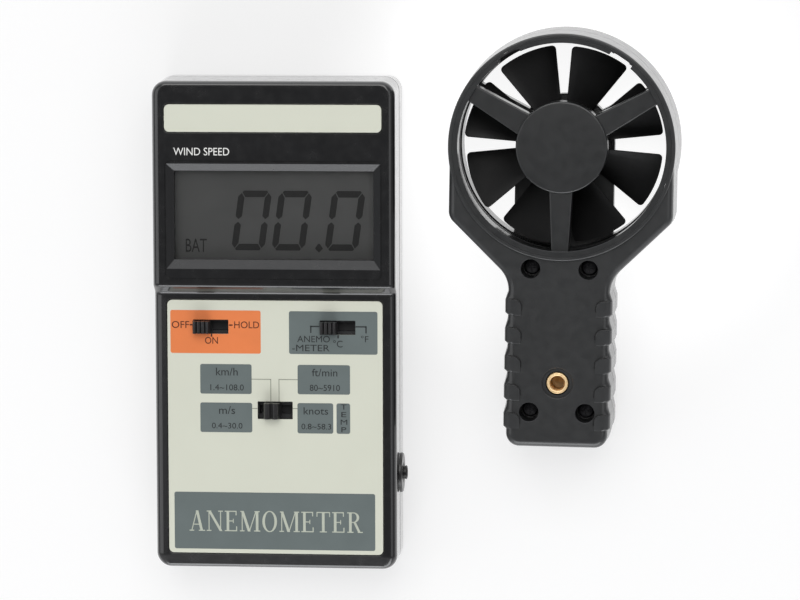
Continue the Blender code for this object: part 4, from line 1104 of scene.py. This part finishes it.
def lower_spider():
    high = PROBE_SPLIT - 2 * GAP
    band = turned([
        (BAND_BORE + 0.3, 0.2), (BAND_RADIUS - 0.3, 0.2), (BAND_RADIUS, 0.5), (BAND_RADIUS, high),
        (BAND_BORE + 0.4, high), (BAND_BORE + 0.4, high - 3.0), (BAND_BORE, high - 3.4),
        (BAND_BORE, 0.5)], RING_SIDES)
    arm_low, arm_high = 0.6, BLADE_LOW - 1.0
    half, foot, head = REAR_HUB, arm_low - 0.01, arm_high - 0.01
    hub = turned([(0.0, foot), (half - 0.5, foot), (half, foot + 0.5), (half, head - 0.5),
                  (half - 0.5, head), (0.0, head)], HUB_SIDES)
    tongue = block((-half, half, -ARM_REACH, 0), arm_low, arm_high, SHARP, 0.4, 0.4)
    common(tongue, rod((0, 0), ARM_REACH, 0, PROBE_TOP, RING_SIDES))
    joined(band, *arms(SPOKE_ANGLES[:2], arm_low, arm_high), hub, tongue)
    cut(
        band,
        rod((0, 0), 12.6, -1, arm_high - 3.6, 96),
        rod((0, 0), BEARING_SEAT, arm_high - 2.3, arm_high + 1),
        rod((0, 0), 1.4, -1, arm_high + 1, 32),
        block((-2.5, 2.5, -31, 0), -1, arm_high - 3.6),
    )
    piece(band, "lower_spider_frame", "probe", "probe_black", "lower_spider", look="vane_black")
    lid = turned([(0.0, 0.6), (11.9, 0.6), (12.2, 0.9), (12.2, 1.3), (0.0, 1.3)], 96)
    cut(lid, *[rod(place, 0.9, 0, 0.9, 24) for place in on_circle(5.5, 2)])
    piece(lid, "hub_lid_disc", "probe", "probe_black", "hub_lid", look="vane_black")


BLADE_THICK, TIP_ROUND = 0.95, 1.3
ROUND_START = BLADE_TIP - TIP_ROUND


def blade(middle):
    """One twisted blade with rounded tip corners and thinned edges."""
    radii = [BLADE_ROOT - 0.9 + (ROUND_START - BLADE_ROOT + 0.9) * i / 6 for i in range(7)]
    radii += [ROUND_START + TIP_ROUND * math.sin(QUARTER_TURN * i / 5) for i in range(1, 6)]
    along = 12
    half = math.radians(BLADE_SWEEP / 2)
    centre_z = (BLADE_LOW + BLADE_HIGH) / 2
    lean = (BLADE_HIGH - BLADE_LOW - 1.2) / 2 / half  # climb for each radian
    sheets = ([], [])
    for radius in radii:
        past = max(0.0, radius - ROUND_START)
        cut_back = TIP_ROUND - math.sqrt(max(0.0, TIP_ROUND**2 - past**2))
        span = half - cut_back / radius
        for sheet, side in zip(sheets, (1, -1)):
            row = []
            for j in range(along + 1):
                share = 2 * j / along - 1
                offset = span * share
                angle = middle + offset
                thick = BLADE_THICK / 2 * (0.3 + 0.7 * math.sqrt(max(0.0, 1 - share**6)))
                across = math.hypot(radius, lean)
                # The sheet's normal leans back against the climb.
                tangent, up = -lean / across, radius / across
                z = centre_z + lean * offset + side * thick * up
                slip = side * thick * tangent
                row.append((radius * math.cos(angle) - slip * math.sin(angle),
                            radius * math.sin(angle) + slip * math.cos(angle), z))
            sheet.append(row)
    bm = bmesh.new()
    over, under = [[[bm.verts.new(p) for p in row] for row in sheet] for sheet in sheets]
    for i in range(len(radii) - 1):
        for j in range(along):
            bm.faces.new((over[i][j], over[i + 1][j], over[i + 1][j + 1], over[i][j + 1]))
            bm.faces.new((under[i][j], under[i][j + 1], under[i + 1][j + 1], under[i + 1][j]))
        bm.faces.new((over[i][0], under[i][0], under[i + 1][0], over[i + 1][0]))
        bm.faces.new((over[i][-1], over[i + 1][-1], under[i + 1][-1], under[i][-1]))
    for j in range(along):
        bm.faces.new((over[0][j], over[0][j + 1], under[0][j + 1], under[0][j]))
        bm.faces.new((over[-1][j], under[-1][j], under[-1][j + 1], over[-1][j + 1]))
    return shape(bm)


def impeller():
    rim, boss, hole = BLADE_ROOT - 1.4, 2.4, 0.95
    low, high, root, edge = BLADE_LOW, BLADE_HIGH, BLADE_ROOT, 0.3
    web_low, web_high = 14.0, 15.8
    wheel = turned([
        (root - edge, high), (root, high - edge), (root, low + edge), (root - edge, low),
        (rim, low), (rim, web_low), (boss, web_low), (boss, low + 1.4), (hole, low + 1.4),
        (hole, high - 0.6), (boss, high - 0.6), (boss, web_high), (rim, web_high), (rim, high)])
    joined(wheel, *[blade(math.radians(FIRST_BLADE + 360 / BLADES * i)) for i in range(BLADES)])
    piece(wheel, "impeller_wheel", "impeller", "knob_black", "impeller", look="blade_black",
          angle=50)
    shaft = turned([(0.0, low - 2.9), (0.45, low - 2.9), (0.7, low - 2.4), (0.7, high + 2.8),
                    (0.45, high + 3.3), (0.0, high + 3.3)], 32)
    piece(shaft, "impeller_spindle", "impeller", "screw_steel", "impeller_shaft",
          look="bright_steel")


# Probe: handle's fittings.

THREAD_PITCH, THREAD_DEPTH = 1.27, 0.4


def tripod_insert():
    """A brass bush with a screw thread in its bore."""
    low, high, sides, steps = PROBE_SPLIT + 2.0, HANDLE_TOP - 0.5, 64, 72
    bm = bmesh.new()

    def thread(a, z):
        """How far the thread's wall stands back from the bore."""
        phase = (z / THREAD_PITCH - a / FULL_TURN) % 1.0
        fade = min(1.0, (high - 0.55 - z) / 0.5) if z < high - 0.55 else 0.0
        ridge = max(0.0, 1 - abs(phase - 0.5) * 2.6)
        return THREAD_DEPTH * (1 - ridge) * max(0.0, fade)

    def ring(z, radius, back=lambda a, z: 0.0):
        made = []
        for i in range(sides):
            a = FULL_TURN * i / sides
            reach = radius + back(a, z)
            made.append(bm.verts.new((reach * math.cos(a), reach * math.sin(a), z)))
        return made

    outer, top = INSERT_RADIUS, high - 0.25
    rings = [ring(*level) for level in (
        (low, outer - 0.2), (low + 0.2, outer), (high - 0.4, outer), (high - 0.12, outer - 0.1),
        (high, outer - 0.33), (high - 0.06, INSERT_BORE + 0.16))]
    rings += [ring(top - (top - low) * i / steps, INSERT_BORE, thread) for i in range(steps + 1)]
    bridge(bm, [*rings, rings[0]])
    end = rod((0, 0), INSERT_BORE + THREAD_DEPTH + 0.1, low + 0.1, low + 0.6)
    bush = shifted(gathered([shape(bm), end]), 0, INSERT_Y)
    piece(bush, "tripod_bush", "probe", "brass", "tripod_insert", angle=60)


def probe_socket():
    y0 = HANDLE_END + 0.2
    profile = [(1.75, y0 + 0.3), (2.05, y0), (2.8, y0), (3.0, y0 + 0.2), (3.0, y0 + 12.8),
               (2.8, y0 + 13.0), (0.0, y0 + 13.0), (0.0, y0 + 11.0), (1.75, y0 + 11.0)]
    made = moved(turned(profile, 48), ALONG_Y)
    shifted(made, 0, 0, PROBE_SPLIT - 0.15)
    piece(made, "probe_socket_bush", "probe", "knob_black", "probe_socket")


for make in (front_case, rear_case, battery_cover, labels, patches, printing, display, knobs,
             socket, screws, battery):
    make()
probe_shell("upper")
probe_shell("lower")
for make in (upper_spider, lower_spider, impeller, tripod_insert, probe_socket):
    make()

# CAD nodes that stay shown get a finished material in place of their plain one.
for cad_node in frame["nodes"].values():
    for slot in cad_node.material_slots:
        kind = slot.material.name.split(".")[0] if slot.material else "chip_black"
        slot.material = LOOKS.get(kind, LOOKS["chip_black"])


# Floor, light and camera. The room is a pale studio: a bright band round the horizon, a dim
# ceiling, and four large soft lamps.

FLOOR_SIZE = 6.0
FLOOR_GLOW = 0.60  # the floor is a light table, so that it stays pale beneath the object
PAINTED_POOL_GLOW, POOL_RADIUS, POOL_EDGE = 0.32, 0.024, 0.090  # a painted pool of light: the floor glows brighter beneath the vane
SKY = ((0.0, (0.95, 0.98, 1.02)), (0.35, (1.0, 1.01, 1.03)), (0.75, (0.62, 0.626, 0.632)),
       (1.0, (0.52, 0.526, 0.532)))  # colours from the horizon to the zenith
ROOM_SIDES, ROOM_ENDS = 0.2, 1.25  # strength of the light towards X and towards Y
LAMPS = {  # place, size, power and colour; each looks at the origin
    "key": ((0.1, 1.45, 2.5), (2.6, 2.0), 38.0, (1.0, 0.99, 0.97)),
    "fill": ((0.1, -2.2, 1.15), (2.6, 1.4), 29.0, (0.97, 0.98, 1.0)),
    "left": ((-1.7, 0.1, 1.6), (1.4, 1.8), 7.6, (0.98, 0.99, 1.0)),
    "right": ((1.5, 0.1, 1.9), (1.4, 1.2), 3.4, (0.98, 0.99, 1.0)),
}
CAMERA_TARGET = Vector((-0.0045, 0.00075, 0.024))
CAMERA_TILT = (-6.10, 5.57, -0.14)  # degrees away from straight down
CAMERA_DISTANCE, CAMERA_LENS, CAMERA_SENSOR = 1.2496, 180.0, 36.0


def floor():
    bpy.ops.mesh.primitive_grid_add(x_subdivisions=8, y_subdivisions=8, size=FLOOR_SIZE)
    ground = bpy.context.object
    ground.name = "studio_floor"
    look = finish_of("floor_paper", (0.39, 0.39, 0.392), 0.75, mottle=0.004, mottle_size=300.0,
                     rough_spread=0.02, grain=1.5, grain_depth=0.01, ior=1.3)
    tree = look.node_tree
    shader = tree.nodes["Principled BSDF"]
    shader.inputs["Emission Color"].default_value = (1.0, 1.0, 1.0, 1.0)
    away = node(tree, "ShaderNodeVectorMath", operation="DISTANCE")
    tree.links.new(node(tree, "ShaderNodeTexCoord").outputs["Object"], away.inputs[0])
    away.inputs[1].default_value = vane_axis
    # painted pool of light: the floor's glow rises towards the vane's axis, so that it shows pale
    # between the blades
    painted_pool = remap(tree, away.outputs["Value"], (POOL_RADIUS, POOL_EDGE),
                 (FLOOR_GLOW + PAINTED_POOL_GLOW, FLOOR_GLOW), interpolation_type="SMOOTHSTEP")
    tree.links.new(painted_pool, shader.inputs["Emission Strength"])
    ground.data.materials.append(look)


def room():
    world = bpy.data.worlds.new("studio")
    bpy.context.scene.world = world
    world.use_nodes = True
    tree = world.node_tree
    link = tree.links.new
    background = tree.nodes["Background"]
    split = node(tree, "ShaderNodeSeparateXYZ")
    link(node(tree, "ShaderNodeTexCoord").outputs["Generated"], split.inputs["Vector"])
    link(ramp(tree, split.outputs["Z"], SKY), background.inputs["Color"])
    square = node(tree, "ShaderNodeMath", operation="MULTIPLY")
    for socket in square.inputs[:2]:
        link(split.outputs["Y"], socket)
    ends = remap(tree, square.outputs["Value"], (0.0, 1.0), (ROOM_SIDES, ROOM_ENDS))
    link(ends, background.inputs["Strength"])


def placed(name, data, place, turn):
    obj = bpy.data.objects.new(name, data)
    obj.location = place
    obj.rotation_mode = "QUATERNION"
    obj.rotation_quaternion = turn
    bpy.context.scene.collection.objects.link(obj)
    return obj


def lamps():
    for name, (place, size, power, colour) in LAMPS.items():
        data = bpy.data.lights.new(name, "AREA")
        data.shape = "RECTANGLE"
        data.size, data.size_y = size
        data.energy = power
        data.color = colour
        placed(name, data, place, (-Vector(place)).to_track_quat("-Z", "Y"))


def camera():
    data = bpy.data.cameras.new("camera")
    data.sensor_width = CAMERA_SENSOR
    data.lens = CAMERA_LENS
    data.clip_start, data.clip_end = 0.05, 50.0
    rx, ry, rz = (math.radians(angle) for angle in CAMERA_TILT)
    turn = Matrix.Rotation(rz, 3, "Z") @ Matrix.Rotation(ry, 3, "Y") @ Matrix.Rotation(rx, 3, "X")
    place = CAMERA_TARGET + turn @ Vector((0, 0, CAMERA_DISTANCE))
    bpy.context.scene.camera = placed("camera", data, place, turn.to_quaternion())


for make in (floor, room, lamps, camera):
    make()
bpy.context.scene.view_settings.view_transform = "Standard"
